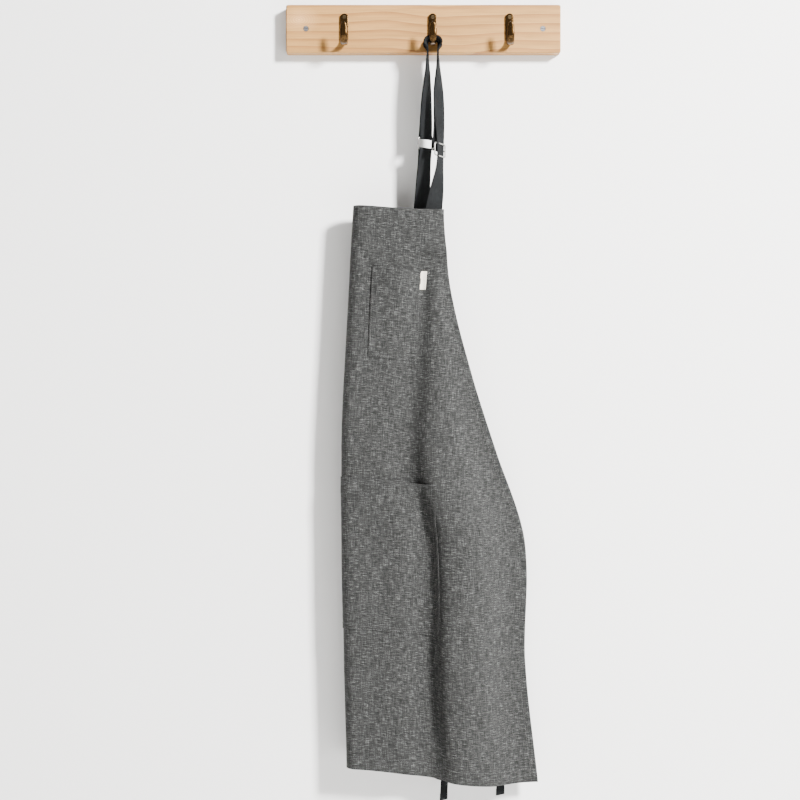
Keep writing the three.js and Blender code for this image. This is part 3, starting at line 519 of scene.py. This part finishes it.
def front_angle(s, t, size):
    """The cloth's direction along the front half: a valley, a ridge and a curl back to the edge."""
    rise = through(RISE_S, t)
    rest = half_width(t) - rise
    steep = 6 + 0.09 * rest
    ridge = float(smooth((rest - 14) / 34))
    angle = size * (0.5 * bump((s - rise + 1.6 * steep + 14) / 16) - ridge * bump((s - rise) / steep)
                    + 0.8 * ridge * bump((s - rise - 0.64 * rest) / (0.27 * rest))) \
        + 0.22 * bump((half_width(t) - s) / 25) * math.exp(-(t / 90) ** 2)
    return np.where(s < TURN_LENGTH, -math.pi / 2 * (1 - s / TURN_LENGTH), angle)


def rear_angle(s, t, size):
    """The rear half: waves that grow away from the fold."""
    grow = 0.62 + 0.38 * smooth((s - 40) / 110)
    stiff = math.exp(-(t / 100) ** 2) * smooth((s - 98) / 16)
    angle = size * grow * np.sin(2 * math.pi * (s - TURN_LENGTH) / REAR_WAVE) * (1 - stiff) + 0.4 * stiff
    return np.where(s < TURN_LENGTH, math.pi / 2 * (1 - s / TURN_LENGTH), angle)


def half_row(angle, t, size):
    """One half of a row of cloth as x and y at every 1.5 mm from the fold out."""
    count = math.ceil(half_width(t) / 1.5)
    step = half_width(t) / count
    turn = angle((np.arange(count) + 0.5) * step, t, size)
    return np.vstack([[0.0, 0.0], np.cumsum(np.stack([step * np.cos(turn), step * np.sin(turn)], 1), 0)])


def fitted_row(angle, t, reach, largest):
    """The row whose free edge comes to its place."""
    low, high = 0.0, largest
    for _ in range(26):
        middle = (low + high) / 2
        if half_row(angle, t, middle)[-1, 0] > reach:
            low = middle
        else:
            high = middle
    return half_row(angle, t, low)


cloth_rows = {}


def cloth_row(t):
    key = round(t, 3)
    if key not in cloth_rows:
        fold_x = through(FOLD_X, t)
        cloth_rows[key] = (fold_x, fitted_row(front_angle, t, through(FRONT_EDGE_X, t) - fold_x, 1.5),
                           fitted_row(rear_angle, t, through(REAR_EDGE_X, t) - fold_x, 1.9))
    return cloth_rows[key]


def cloth_point(s, t):
    """The middle of the cloth, in mm, at s from the fold (rear half negative) and t down."""
    held = min(max(t, -6.0), CLOTH_LENGTH + 6.0)
    fold_x, front, rear = cloth_row(held)
    half = front if s >= 0 else rear
    place = min(abs(s) / half_width(t), 1.0) * (len(half) - 1)
    i = min(int(place), len(half) - 2)
    x, y = half[i] * (1 - (place - i)) + half[i + 1] * (place - i)
    droop = (6 + 18 * t / CLOTH_LENGTH) * float(smooth(abs(s) / (0.8 * half_width(t))))
    return np.array((fold_x + x, FRONT_Y + FOLD_RADIUS + y, BIB_TOP_Z - 0.981 * t - droop))


def crumple(s, t):
    """Small creases of worn linen, mostly up and down, as mm along the normal."""
    long_crease = noise.noise(Vector((s * 0.028, t * 0.0075, 3.1)))
    soft = noise.noise(Vector((s * 0.052, t * 0.021, 8.7)))
    fine = noise.noise(Vector((s * 0.16 + t * 0.03, t * 0.065, 5.4)))
    kept = float(smooth(abs(s) / 60.0)) * 0.7 + 0.3
    return kept * (1.15 * long_crease + 0.55 * soft) + 0.16 * fine


def cloth_normal(s, t):
    """The side of the cloth that faces out when the apron is worn."""
    across = cloth_point(s + 1, t) - cloth_point(s - 1, t)
    down = cloth_point(s, t + 2) - cloth_point(s, t - 2)
    return unit(np.cross(down, across))


def on_cloth(s, t, out):
    return cloth_point(s, t) + cloth_normal(s, t) * (out + crumple(s, t))


def spread(start, end, count):
    return [start + (end - start) * i / count for i in range(count + 1)]


def linen_sheet(name, columns, rows, place, material):
    """A closed cloth shell. columns(row) gives s values and place(s, t, side) its corners."""
    front, back, uvs = [], [], []
    for t in rows:
        line = columns(t)
        for s in line:
            front.append(place(s, t, 1.0))
            back.append(place(s, t, -1.0))
            uvs.append((s / 1000, t / 1000))
    wide, tall = len(line), len(rows)
    count = wide * tall
    faces = []
    for j in range(tall - 1):
        for i in range(wide - 1):
            a, b = j * wide + i, j * wide + i + 1
            c, d = a + wide, b + wide
            faces.append((a, c, d, b))
            faces.append((count + a, count + b, count + d, count + c))
    loop = ([(0, i) for i in range(wide)] + [(j, wide - 1) for j in range(1, tall)]
            + [(tall - 1, i) for i in range(wide - 2, -1, -1)] + [(j, 0) for j in range(tall - 2, 0, -1)])
    rim = [j * wide + i for j, i in loop]
    points = front + back
    middle = [(np.array(front[k]) + np.array(back[k])) / 2 for k in rim]
    centre_of = {}
    for order, k in enumerate(rim):
        j, i = divmod(k, wide)
        inner = (min(max(j, 1), tall - 2)) * wide + min(max(i, 1), wide - 2)
        inside = (np.array(front[inner]) + np.array(back[inner])) / 2
        push = unit(middle[order] - inside) * 0.3
        centre_of[k] = len(points)
        points.append(tuple(middle[order] + push))
        uvs.append(uvs[k])
    for a, b in zip(rim, rim[1:] + rim[:1]):
        faces.append((a, b, centre_of[b], centre_of[a]))
        faces.append((centre_of[a], centre_of[b], count + b, count + a))
    flat = uvs[:count]
    vertex_uv = flat + flat + uvs[count:]
    mesh = bpy.data.meshes.new(name)
    mesh.from_pydata([tuple(np.array(p) / 1000) for p in points], [], faces)
    layer = mesh.uv_layers.new(name="pattern")
    corner = np.empty(len(mesh.loops), int)
    mesh.loops.foreach_get("vertex_index", corner)
    layer.data.foreach_set("uv", np.array(vertex_uv)[corner].ravel())
    mesh.polygons.foreach_set("use_smooth", [True] * len(mesh.polygons))
    mesh.update()
    return new_object(name, mesh, material)


def linen_material():
    """Chambray: dark warp yarns crossed by pale weft, both uneven, with slubs and small creases."""
    made, surface, node, links = shader("chambray_linen")
    uv = node("ShaderNodeUVMap", {"uv_map": "pattern"}).outputs[0]

    def yarn(across, along, detail=3.0, roughness=0.6):
        at = node("ShaderNodeMapping", Vector=uv, Scale=(across, along, 1.0)).outputs[0]
        return node("ShaderNodeTexNoise", Scale=1.0, Detail=detail, Roughness=roughness,
                    Vector=at).outputs["Fac"]

    warp = yarn(1150.0, 120.0)
    weft = yarn(120.0, 1150.0)
    warp_fleck = yarn(760.0, 62.0, 2.0, 0.7)
    weft_fleck = yarn(62.0, 760.0, 2.0, 0.7)
    warp_slub = yarn(520.0, 20.0, 2.0)
    apart = node("ShaderNodeSeparateXYZ", Vector=uv)

    def thread(axis, pitch):
        turn = node("ShaderNodeMath", {"operation": "MULTIPLY"}, i0=apart.outputs[axis],
                    i1=2 * math.pi / pitch)
        return node("ShaderNodeMath", {"operation": "SINE"}, i0=turn.outputs[0]).outputs[0]

    crossing = node("ShaderNodeMath", {"operation": "MULTIPLY"}, i0=thread(0, 0.0011), i1=thread(1, 0.0011))
    over = node("ShaderNodeMapRange", Value=crossing.outputs[0], From_Min=-0.35, From_Max=0.35).outputs[0]
    dark_yarn = ramp(node, warp, [(0.33, (0.0013, 0.0015, 0.0016)), (0.52, (0.0069, 0.0074, 0.0075)),
                                  (0.70, (0.0307, 0.0320, 0.0316))])
    pale_yarn = ramp(node, weft, [(0.32, (0.0101, 0.0106, 0.0107)), (0.50, (0.0348, 0.0360, 0.0358)),
                                  (0.68, (0.1335, 0.1360, 0.1340))])
    cloth = blend_colours(node, over, dark_yarn, pale_yarn)
    for fleck in (warp_fleck, weft_fleck):
        tone = ramp(node, fleck, [(0.36, 0.50), (0.48, 0.86), (0.56, 1.04), (0.66, 1.68)])
        cloth = blend_colours(node, 1.0, cloth, tone, "MULTIPLY")
    cloth = blend_colours(node, 1.0, cloth, ramp(node, warp_slub, [(0.34, 0.86), (0.66, 1.16)]), "MULTIPLY")
    cloudy = yarn(9.0, 5.0, 2.0)
    cloth = blend_colours(node, 1.0, cloth, ramp(node, cloudy, [(0.3, 0.94), (0.7, 1.06)]), "MULTIPLY")
    links.new(cloth, surface.inputs["Base Color"])
    links.new(ramp(node, warp, [(0.3, 0.80), (0.7, 0.94)]), surface.inputs["Roughness"])
    surface.inputs["Sheen Weight"].default_value = 0.08
    surface.inputs["Sheen Roughness"].default_value = 0.45
    surface.inputs["Specular IOR Level"].default_value = 0.18
    height = node("ShaderNodeMath", {"operation": "MULTIPLY_ADD"}, i0=warp, i1=0.6, i2=weft).outputs[0]
    height = node("ShaderNodeMath", {"operation": "MULTIPLY_ADD"}, i0=over, i1=0.35, i2=height).outputs[0]
    creases = yarn(75.0, 28.0, 4.0, 0.55)
    height = node("ShaderNodeMath", {"operation": "MULTIPLY_ADD"}, i0=creases, i1=2.2, i2=height).outputs[0]
    links.new(node("ShaderNodeBump", Height=height, Distance=0.0004, Strength=0.55).outputs[0],
              surface.inputs["Normal"])
    return made


linen = linen_material()


def hem_rows(top, bottom, top_hem, bottom_hem, step):
    """Row places with close ones on both sides of each hem line."""
    inner = spread(top + top_hem + 1, bottom - bottom_hem - 1, int((bottom - top) / step))
    return (spread(top, top + top_hem - 0.6, 5) + inner + spread(bottom - bottom_hem + 0.6, bottom, 5))


def panel_columns(t):
    """s of the mesh's columns in the row at t: close at the fold and on both sides of the hems."""
    edge = half_width(t)
    inner = edge - SIDE_HEM - 1.0
    near = spread(0.0, 24.0, 10)[1:]
    wide = spread(24.0, inner, 66)[1:]
    hem = spread(edge - SIDE_HEM + 0.6, edge, 4)
    side = near + wide + hem
    return [-s for s in reversed(side)] + [0.0] + side


def panel_place(s, t, side):
    """The hems are doubled cloth, thicker on the inner side."""
    from_edge = half_width(t) - abs(s)
    hemmed = max(float(from_edge < SIDE_HEM), float(t < BIB_HEM), float(CLOTH_LENGTH - t < FOOT_HEM))
    thick = HALF_CLOTH * side if side > 0 else -(HALF_CLOTH + 0.85 * hemmed)
    return on_cloth(s, t, thick)


panel_rows = hem_rows(0.0, CLOTH_LENGTH, BIB_HEM, FOOT_HEM, 4.3)
apron_panel = linen_sheet("apron_cloth", panel_columns, panel_rows, panel_place, linen)
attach(apron_panel, "apron")
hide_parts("apron_panel")

# ---- Pockets: a chest and a waist patch pocket of the same linen -----------------------------
# Each has a doubled top band and turned-in edges sewn close to the panel; both mouths gape a little.
CHEST = dict(low=40.0, high=112.0, top=88.0, bottom=220.0, gape=6.0, at=76.0, spread=26.0, band=18.0,
             corner=4.0)
WAIST = dict(low=-155.0, high=155.0, top=398.0, bottom=620.0, gape=8.0, at=106.0, spread=26.0, band=24.0,
             corner=16.0)


def pocket_gap(s, t, pocket):
    """How far the pocket's inner face stands off the middle of the panel."""
    down = (t - pocket["top"]) / (pocket["bottom"] - pocket["top"])
    gape = pocket["gape"] * float(bump((s - pocket["at"]) / pocket["spread"]))
    gape *= 1 - float(smooth(down * 1.15))
    edge = min(s - pocket["low"], pocket["high"] - s, pocket["bottom"] - t)
    uneven = 0.6 + 0.6 * noise.noise(Vector((s * 0.03, t * 0.02, 1.3)))
    belly = 0.5 * float(smooth((edge - 3.0) / 14.0)) * uneven
    return HALF_CLOTH + 0.05 + gape + belly


def pocket_foot(s, pocket):
    """The bottom edge with its rounded corners."""
    inside = min(s - pocket["low"], pocket["high"] - s)
    short = max(pocket["corner"] - inside, 0.0)
    return pocket["bottom"] - (pocket["corner"] - math.sqrt(max(pocket["corner"] ** 2 - short**2, 0.0)))


def patch_pocket(name, pocket, node_name):
    across = int((pocket["high"] - pocket["low"]) / 3.0)
    low, high = pocket["low"], pocket["high"]
    columns = (spread(low, low + 8.0, 5) + spread(low + 9.0, high - 9.0, across)
               + spread(high - 8.0, high, 5))
    rows = hem_rows(pocket["top"], pocket["bottom"], pocket["band"], 8.0, 3.6)

    def place(s, t, side):
        share = (t - pocket["top"]) / (pocket["bottom"] - pocket["top"])
        t = pocket["top"] + share * (pocket_foot(s, pocket) - pocket["top"])
        doubled = float(t - pocket["top"] < pocket["band"])
        turned = float(min(s - low, high - s) < 8.5 or share > 0.965)
        out = pocket_gap(s, t, pocket) + (0.0 if side < 0 else 0.6 + 0.3 * max(doubled, turned))
        return on_cloth(s, t, out)

    piece = linen_sheet(name, lambda t: columns, rows, place, linen)
    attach(piece, "apron")
    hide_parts(node_name)
    return piece


chest_pocket = patch_pocket("chest_pocket_cloth", CHEST, "chest_pocket")
waist_pocket = patch_pocket("waist_pocket_cloth", WAIST, "waist_pocket")

# ---- Stitching: lockstitch in grey cotton along the hems and round the pockets ---------------
# Each stitch is a short plump thread lying on the cloth, dipping in at both ends.
thread_grey, surface, node, links = shader("stitch_thread")
where = node("ShaderNodeTexCoord").outputs["Object"]
twist = node("ShaderNodeTexNoise", Scale=1500.0, Detail=2.0, Vector=where).outputs["Fac"]
links.new(ramp(node, twist, [(0.35, (0.008, 0.0085, 0.0085)), (0.65, (0.038, 0.039, 0.039))]),
          surface.inputs["Base Color"])
surface.inputs["Roughness"].default_value = 0.75
surface.inputs["Sheen Weight"].default_value = 0.2


def stitching(name, lines, long=2.6, pitch=3.3, radius=0.20):
    """Stitches along lines of (middle, outward normal) pairs in mm."""
    points, faces = [], []
    for line in lines:
        walked, last = 0.0, None
        for (p, n), (q, _) in zip(line, line[1:]):
            span = float(np.linalg.norm(q - p))
            along = (q - p) / span
            while walked < span:
                a = p + along * walked
                sideways = unit(np.cross(along, n))
                base = len(points)
                for place, lift, size in ((0.0, -0.25, 0.4), (0.25, 0.12, 1.0), (0.75, 0.12, 1.0),
                                          (1.0, -0.25, 0.4)):
                    middle = a + along * long * place + n * lift
                    for turn in (0, 90, 180, 270):
                        c, d = math.cos(math.radians(turn)), math.sin(math.radians(turn))
                        points.append((middle + (sideways * c + n * d) * radius * size) / 1000)
                for k in range(3):
                    for i in range(4):
                        j = (i + 1) % 4
                        ring = base + 4 * k
                        faces.append((ring + i, ring + j, ring + 4 + j, ring + 4 + i))
                faces.append((base + 3, base + 2, base + 1, base))
                faces.append((base + 12, base + 13, base + 14, base + 15))
                walked += pitch
            walked -= span
    mesh = bpy.data.meshes.new(name)
    mesh.from_pydata([tuple(p) for p in points], [], faces)
    face_outward(mesh)
    mesh.polygons.foreach_set("use_smooth", [True] * len(mesh.polygons))
    piece = new_object(name, mesh, thread_grey)
    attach(piece, "apron")
    return piece


def seam(places, out, outward=1.0):
    """Points and normals along (s, t) places on the cloth, lifted out from its middle."""
    return [(on_cloth(s, t, out(s, t) if callable(out) else out), cloth_normal(s, t) * outward)
            for s, t in places]


outer = HALF_CLOTH + 0.05
hem_lines = []
for side in (1, -1):
    hem_lines.append(seam([(side * (half_width(t) - SIDE_HEM + HEM_SEAM), t)
                           for t in spread(3, CLOTH_LENGTH - 3, 150)], outer))
hem_lines.append(seam([(s, CLOTH_LENGTH - FOOT_HEM + HEM_SEAM)
                       for s in spread(-SKIRT_HALF + 3, SKIRT_HALF - 3, 170)], outer))
hem_lines.append(seam([(s, BIB_HEM - 1.5) for s in spread(-BIB_HALF + 3, BIB_HALF - 3, 90)], outer))
hem_stitches = stitching("hem_stitches", hem_lines)


def pocket_lines(pocket, inset):
    face = lambda s, t: pocket_gap(s, t, pocket) + 0.93
    low, high, top = pocket["low"] + inset, pocket["high"] - inset, pocket["top"]
    foot = lambda s: pocket_foot(s, pocket) - inset
    sides = ([(low, t) for t in spread(top + 1, foot(low) - 2, 50)]
             + [(s, foot(s)) for s in spread(low, high, int((high - low) / 2.5))]
             + [(high, t) for t in spread(foot(high) - 2, top + 1, 50)])
    band = [(s, top + pocket["band"] - 1.5) for s in spread(low, high, int((high - low) / 3))]
    return [seam(sides, face), seam(band, face)]


pocket_stitches = stitching("pocket_stitches", pocket_lines(CHEST, 2.0) + pocket_lines(WAIST, 2.0)
                            + pocket_lines(WAIST, 7.5)[:1])

# ---- Label: a small blank cotton tag, caught in the chest pocket's side seam -----------------
# It is woven cream tape folded double, so it has a plump fold at its free side.
label_tape, surface, node, links = shader("label_cotton")
uv = node("ShaderNodeUVMap", {"uv_map": "pattern"}).outputs[0]
threads_at = node("ShaderNodeMapping", Vector=uv, Scale=(2600.0, 700.0, 1.0)).outputs[0]
threads = node("ShaderNodeTexNoise", Scale=1.0, Detail=2.0, Vector=threads_at).outputs["Fac"]
links.new(ramp(node, threads, [(0.3, (0.56, 0.52, 0.43)), (0.65, (0.80, 0.77, 0.68))]),
          surface.inputs["Base Color"])
links.new(node("ShaderNodeBump", Height=threads, Distance=0.0002, Strength=0.5).outputs[0],
          surface.inputs["Normal"])
surface.inputs["Roughness"].default_value = 0.85
surface.inputs["Sheen Weight"].default_value = 0.15
LABEL_FROM, LABEL_WIDTH, LABEL_TOP, LABEL_HEIGHT = 111.0, 9.4, 88.5, 26.5


def label_place(s, t, side):
    out = (s - LABEL_FROM) / LABEL_WIDTH
    lift = 2.0 + 1.6 * out * out + 0.25 * math.sin(t * 0.35)
    thick = 0.42 * math.sqrt(max(1.0 - max(out - 0.85, 0.0) ** 2 / 0.0226, 0.05))
    return on_cloth(s, t, lift + thick * side)


label = linen_sheet("label_tag", lambda t: spread(LABEL_FROM, LABEL_FROM + LABEL_WIDTH, 14),
                    spread(LABEL_TOP, LABEL_TOP + LABEL_HEIGHT, 18), label_place, label_tape)
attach(label, "apron")
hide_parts("side_label")

# ---- Neck strap: one long webbing tape, sewn to the front bib corner -------------------------
# It goes up over the hook, down through the ring, back up over the hook as an inner layer and down
# to the slider's bar. Where it lies in the hook it is doubled and cupped by the hook's round floor.
STRAP_WIDTH, STRAP_THICK = 0.024, 0.0011
LAYER = 0.00065
HOOK_AT = np.array((0.0135, -0.036, -0.022))
SIDE_X, FLOOR_CUP = 0.0077, 0.0054
DOUBLED = 2 * STRAP_THICK + 0.0002
FLOOR_TOP = -0.0227 + DOUBLED / 2


def millimetres(x, y, z, degrees, cup=0.0):
    return station(x / 1000, y / 1000, z / 1000, degrees, cup / 1000)


def sewn(front, t, inward):
    """A station on the inner side of a bib corner, where the strap lies sewn to the cloth."""
    s = (1 if front else -1) * (half_width(0) - 14)
    n = cloth_normal(s, t)
    w = unit((cloth_point(s + 2, t) - cloth_point(s - 2, t)) * (1 if front else -1))
    return ((cloth_point(s, t) - n * inward) / 1000, w, n if front else -n, 0.0)


def between(a, b, share):
    w = unit(a[1] + (b[1] - a[1]) * share)
    n = a[2] + (b[2] - a[2]) * share
    return (a[0] + (b[0] - a[0]) * share, w, unit(n - w * np.dot(n, w)), a[3] + (b[3] - a[3]) * share)


front_top = millimetres(13.5 + 7.7, -36, -31, 0, 1.2)
front_run = [front_top, millimetres(21.3, -36, -50, 7), millimetres(21.4, -36, -62, 13),
             millimetres(21.5, -37, -78, 24), millimetres(21.6, -38, -95, 34)]
front_low = millimetres(21.6, -44, -215, 34)
front_sewn = sewn(True, -4, 2.1)
front_outer = (front_run + [front_low] + [between(front_low, front_sewn, k) for k in (0.25, 0.5, 0.75)]
               + [sewn(True, t, 2.1) for t in (-4, 4, 13, 22)])

over_hook = []
BEND = 0.003


def floor_stop(x, z, degrees):
    turn = math.radians(degrees)
    flat_part = z > FLOOR_TOP - BEND - 0.0001
    over_hook.append((HOOK_AT * (1, 1, 0) + np.array((x, 0, z)), np.array((0.0, 1.0, 0.0)),
                      np.array((math.sin(turn), 0.0, math.cos(turn))), FLOOR_CUP if flat_part else 0.0016))


for angle in spread(-90, 0, 4):
    turn = math.radians(angle)
    floor_stop(-SIDE_X + BEND + BEND * math.sin(turn), FLOOR_TOP - BEND + BEND * math.cos(turn), angle)
for angle in spread(0, 90, 4)[1:]:
    turn = math.radians(angle)
    floor_stop(SIDE_X - BEND + BEND * math.sin(turn), FLOOR_TOP - BEND + BEND * math.cos(turn), angle)

ring_stop = millimetres(2.5, -30.5, -169, 46)
ring_up = unit(np.array((3.5, -5.5, 108.0)))
ring_w = unit(ring_stop[1] - ring_up * np.dot(ring_stop[1], ring_up))
ring_n = -unit(np.cross(ring_w, ring_up))
if np.dot(ring_n, ring_stop[2]) < 0:
    ring_n = -ring_n
RING_WIDE, RING_HIGH, RING_WIRE = 0.0258, 0.014, 0.0022
BAR_OUT = (RING_HIGH + RING_WIRE) / 2


def at_ring(distance):
    return (ring_stop[0] + ring_up * distance, ring_w, ring_n, 0.0)


rear_run = [millimetres(13.5 - 7.7, -36, -31, 0, -1.2), millimetres(5.9, -36, -50, 7),
            millimetres(6, -36, -62, 13), millimetres(5.2, -35, -84, 25), millimetres(4.4, -34, -105, 35),
            at_ring(0.030), at_ring(BAR_OUT + 0.006)]


def looped(run, bar, bar_radius, sign=1.0, thick=STRAP_THICK):
    """Stations down one face of a run, round a bar and back up its other face; sign 1 starts in front."""
    wrap = bar_radius + 0.0001 + thick / 2
    away = unit(bar[0] - run[-1][0])
    lifts = [LAYER] * (len(run) - 1) + [(LAYER + wrap) / 2 + 0.0002]
    down = [(p + n * sign * lift, w, n * sign, cup * sign) for (p, w, n, cup), lift in zip(run, lifts)]
    turn = []
    for angle in spread(90, -90, 8):
        n = unit(bar[2] * sign * math.sin(math.radians(angle)) + away * math.cos(math.radians(angle)))
        turn.append((bar[0] + n * wrap, bar[1], n, 0.0))
    back = [(p - n * sign * lift, w, -n * sign, -cup * sign) for (p, w, n, cup), lift in zip(run, lifts)]
    return down + turn + back[::-1]


def straight(z):
    """A station on the straight part of the front run at height z."""
    top, low = front_run[-1], front_low
    return between(top, low, (z - top[0][2]) / (low[0][2] - top[0][2]))


def layered(stops, sign):
    return [(p + n * LAYER * sign, w, n * sign, cup * sign) for p, w, n, cup in stops]


# outer layer up the front, over the hook and down to the ring; inner layer the same way back
STRAP_END_Z = -0.112
strap_stops = (layered(front_outer[::-1], 1) + layered(over_hook[::-1], 1)
               + looped(rear_run, at_ring(BAR_OUT), RING_WIRE / 2, sign=-1.0) + layered(over_hook, -1)
               + layered(front_run + [straight(STRAP_END_Z)], -1))
neck_strap = tape("neck_strap", smoothed(strap_stops, 0.0022), STRAP_WIDTH, STRAP_THICK, webbing, across=12)
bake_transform(neck_strap)
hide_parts("neck_strap_over_hook", "neck_strap_front_run", "neck_strap_rear_run",
            "neck_strap_return")

# ---- Ring strap: a short doubled tape, sewn to the rear bib corner and looped through the ring
rear_low = at_ring(-BAR_OUT - 0.006)
rear_sewn = sewn(False, -4, 2.1)
ring_run = ([sewn(False, t, 2.1) for t in (22, 13, 4, -4)]
            + [between(rear_sewn, rear_low, k / 6) for k in range(1, 6)] + [rear_low])
ring_strap = tape("ring_strap_loop", smoothed(looped(ring_run, at_ring(-BAR_OUT), RING_WIRE / 2), 0.0022),
                  STRAP_WIDTH, STRAP_THICK, webbing, across=12)
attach(ring_strap, "apron")
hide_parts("ring_strap")

# ---- Ring: a rounded oblong of nickel-plated wire, its ends brazed together ------------------


def bent_wire(name, points, radius, material, closed=True):
    """A round wire along smooth points, as a mesh."""
    curve = bpy.data.curves.new(name, "CURVE")
    curve.dimensions = "3D"
    curve.bevel_depth = radius
    curve.bevel_resolution = 5
    curve.use_fill_caps = not closed
    spline = curve.splines.new("POLY")
    spline.points.add(len(points) - 1)
    for knot_point, place in zip(spline.points, points):
        knot_point.co = (*place, 1.0)
    spline.use_cyclic_u = closed
    drawn = bpy.data.objects.new(name + "_curve", curve)
    bpy.context.collection.objects.link(drawn)
    bpy.context.view_layer.update()
    mesh = bpy.data.meshes.new_from_object(drawn)
    mesh.name = name
    bpy.data.objects.remove(drawn)
    mesh.materials.clear()
    mesh.polygons.foreach_set("use_smooth", [True] * len(mesh.polygons))
    return new_object(name, mesh, material)


def oblong(middle, w, up, half_wide, half_high, corner, steps=8):
    """Points round an oblong with round corners, with w across and up upwards."""
    points = []
    for side, high, first in ((1, 1, 0), (-1, 1, 90), (-1, -1, 180), (1, -1, 270)):
        for angle in spread(first, first + 90, steps):
            turn = math.radians(angle)
            points.append(middle + w * (side * (half_wide - corner) + corner * math.cos(turn))
                          + up * (high * (half_high - corner) + corner * math.sin(turn)))
    return points


ring_line = oblong(ring_stop[0], ring_w, ring_up, (RING_WIDE + RING_WIRE) / 2, BAR_OUT, 0.003)
strap_ring = bent_wire("ring_wire", ring_line,
                       RING_WIRE / 2, nickel)
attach(strap_ring, "apron")
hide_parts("strap_ring")

# ---- Slider: a wire frame in front of the strap with a bar behind it, and the strap's end ----
# The strap's end goes round the bar and is sewn to itself, so the slider sets the loop's length.
SLIDER_WIRE, SLIDER_HIGH = 0.0019, 0.020
run_up = unit(front_run[-1][0] - front_low[0])
slide_stop = straight(-0.180)
slide_w = unit(slide_stop[1] - run_up * np.dot(slide_stop[1], run_up))
slide_n = -unit(np.cross(slide_w, run_up))
if np.dot(slide_n, slide_stop[2]) < 0:
    slide_n = -slide_n
slide_middle = slide_stop[0] + slide_n * LAYER
RAIL_LIFT = STRAP_THICK / 2 + 0.0003 + SLIDER_WIRE / 2
BAR_DROP = STRAP_THICK * 1.5 + 0.0006 + SLIDER_WIRE / 2
SIDE_OUT = (0.0254 + SLIDER_WIRE) / 2
rail_line = oblong(slide_middle + slide_n * RAIL_LIFT, slide_w, run_up, SIDE_OUT,
                   (SLIDER_HIGH - SLIDER_WIRE) / 2, 0.0026)
slider_frame = bent_wire("slider_frame", rail_line, SLIDER_WIRE / 2, nickel)
arms = [slide_middle - slide_w * SIDE_OUT + slide_n * RAIL_LIFT]
arms += [slide_middle - slide_w * (SIDE_OUT - 0.002 * (1 - math.cos(math.radians(a))))
         - slide_n * (BAR_DROP - 0.002 * (1 - math.sin(math.radians(a)))) for a in spread(0, 90, 6)]
arms += [p + 2 * slide_w * np.dot(slide_middle - p, slide_w) for p in arms[::-1]]
slider_bar = bent_wire("slider_bar", arms, SLIDER_WIRE / 2, nickel, closed=False)
for piece in (slider_frame, slider_bar):
    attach(piece, "slider")
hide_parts("strap_slider")

bar_stop = (slide_middle - slide_n * BAR_DROP, slide_w, slide_n, 0.0)


def above_bar(high):
    return (bar_stop[0] + run_up * high, slide_w, slide_n, 0.0)


# the strap's last stretch comes down as the inner layer, rounds the bar and is sewn to itself
tail = [above_bar(0.017), above_bar(0.010), above_bar(0.005)]
end_stops = looped(tail, bar_stop, SLIDER_WIRE / 2)
start_stop = layered([straight(STRAP_END_Z)], -1)[0]
first = (start_stop[0], start_stop[1], -start_stop[2], 0.0)
inner_layer = layered([straight(-0.125)], -1) + layered([straight(-0.145)], -1)
last_stretch = [first] + [(p, w, -n, 0.0) for p, w, n, _ in inner_layer]
strap_end = tape("strap_end", smoothed(last_stretch + end_stops, 0.0018), STRAP_WIDTH, STRAP_THICK, webbing,
                 across=12)
tuple(map(float, straight(-0.113)[0]))
tuple(map(float, straight(-0.158)[0]))
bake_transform(strap_end)
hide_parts("strap_end_loop")
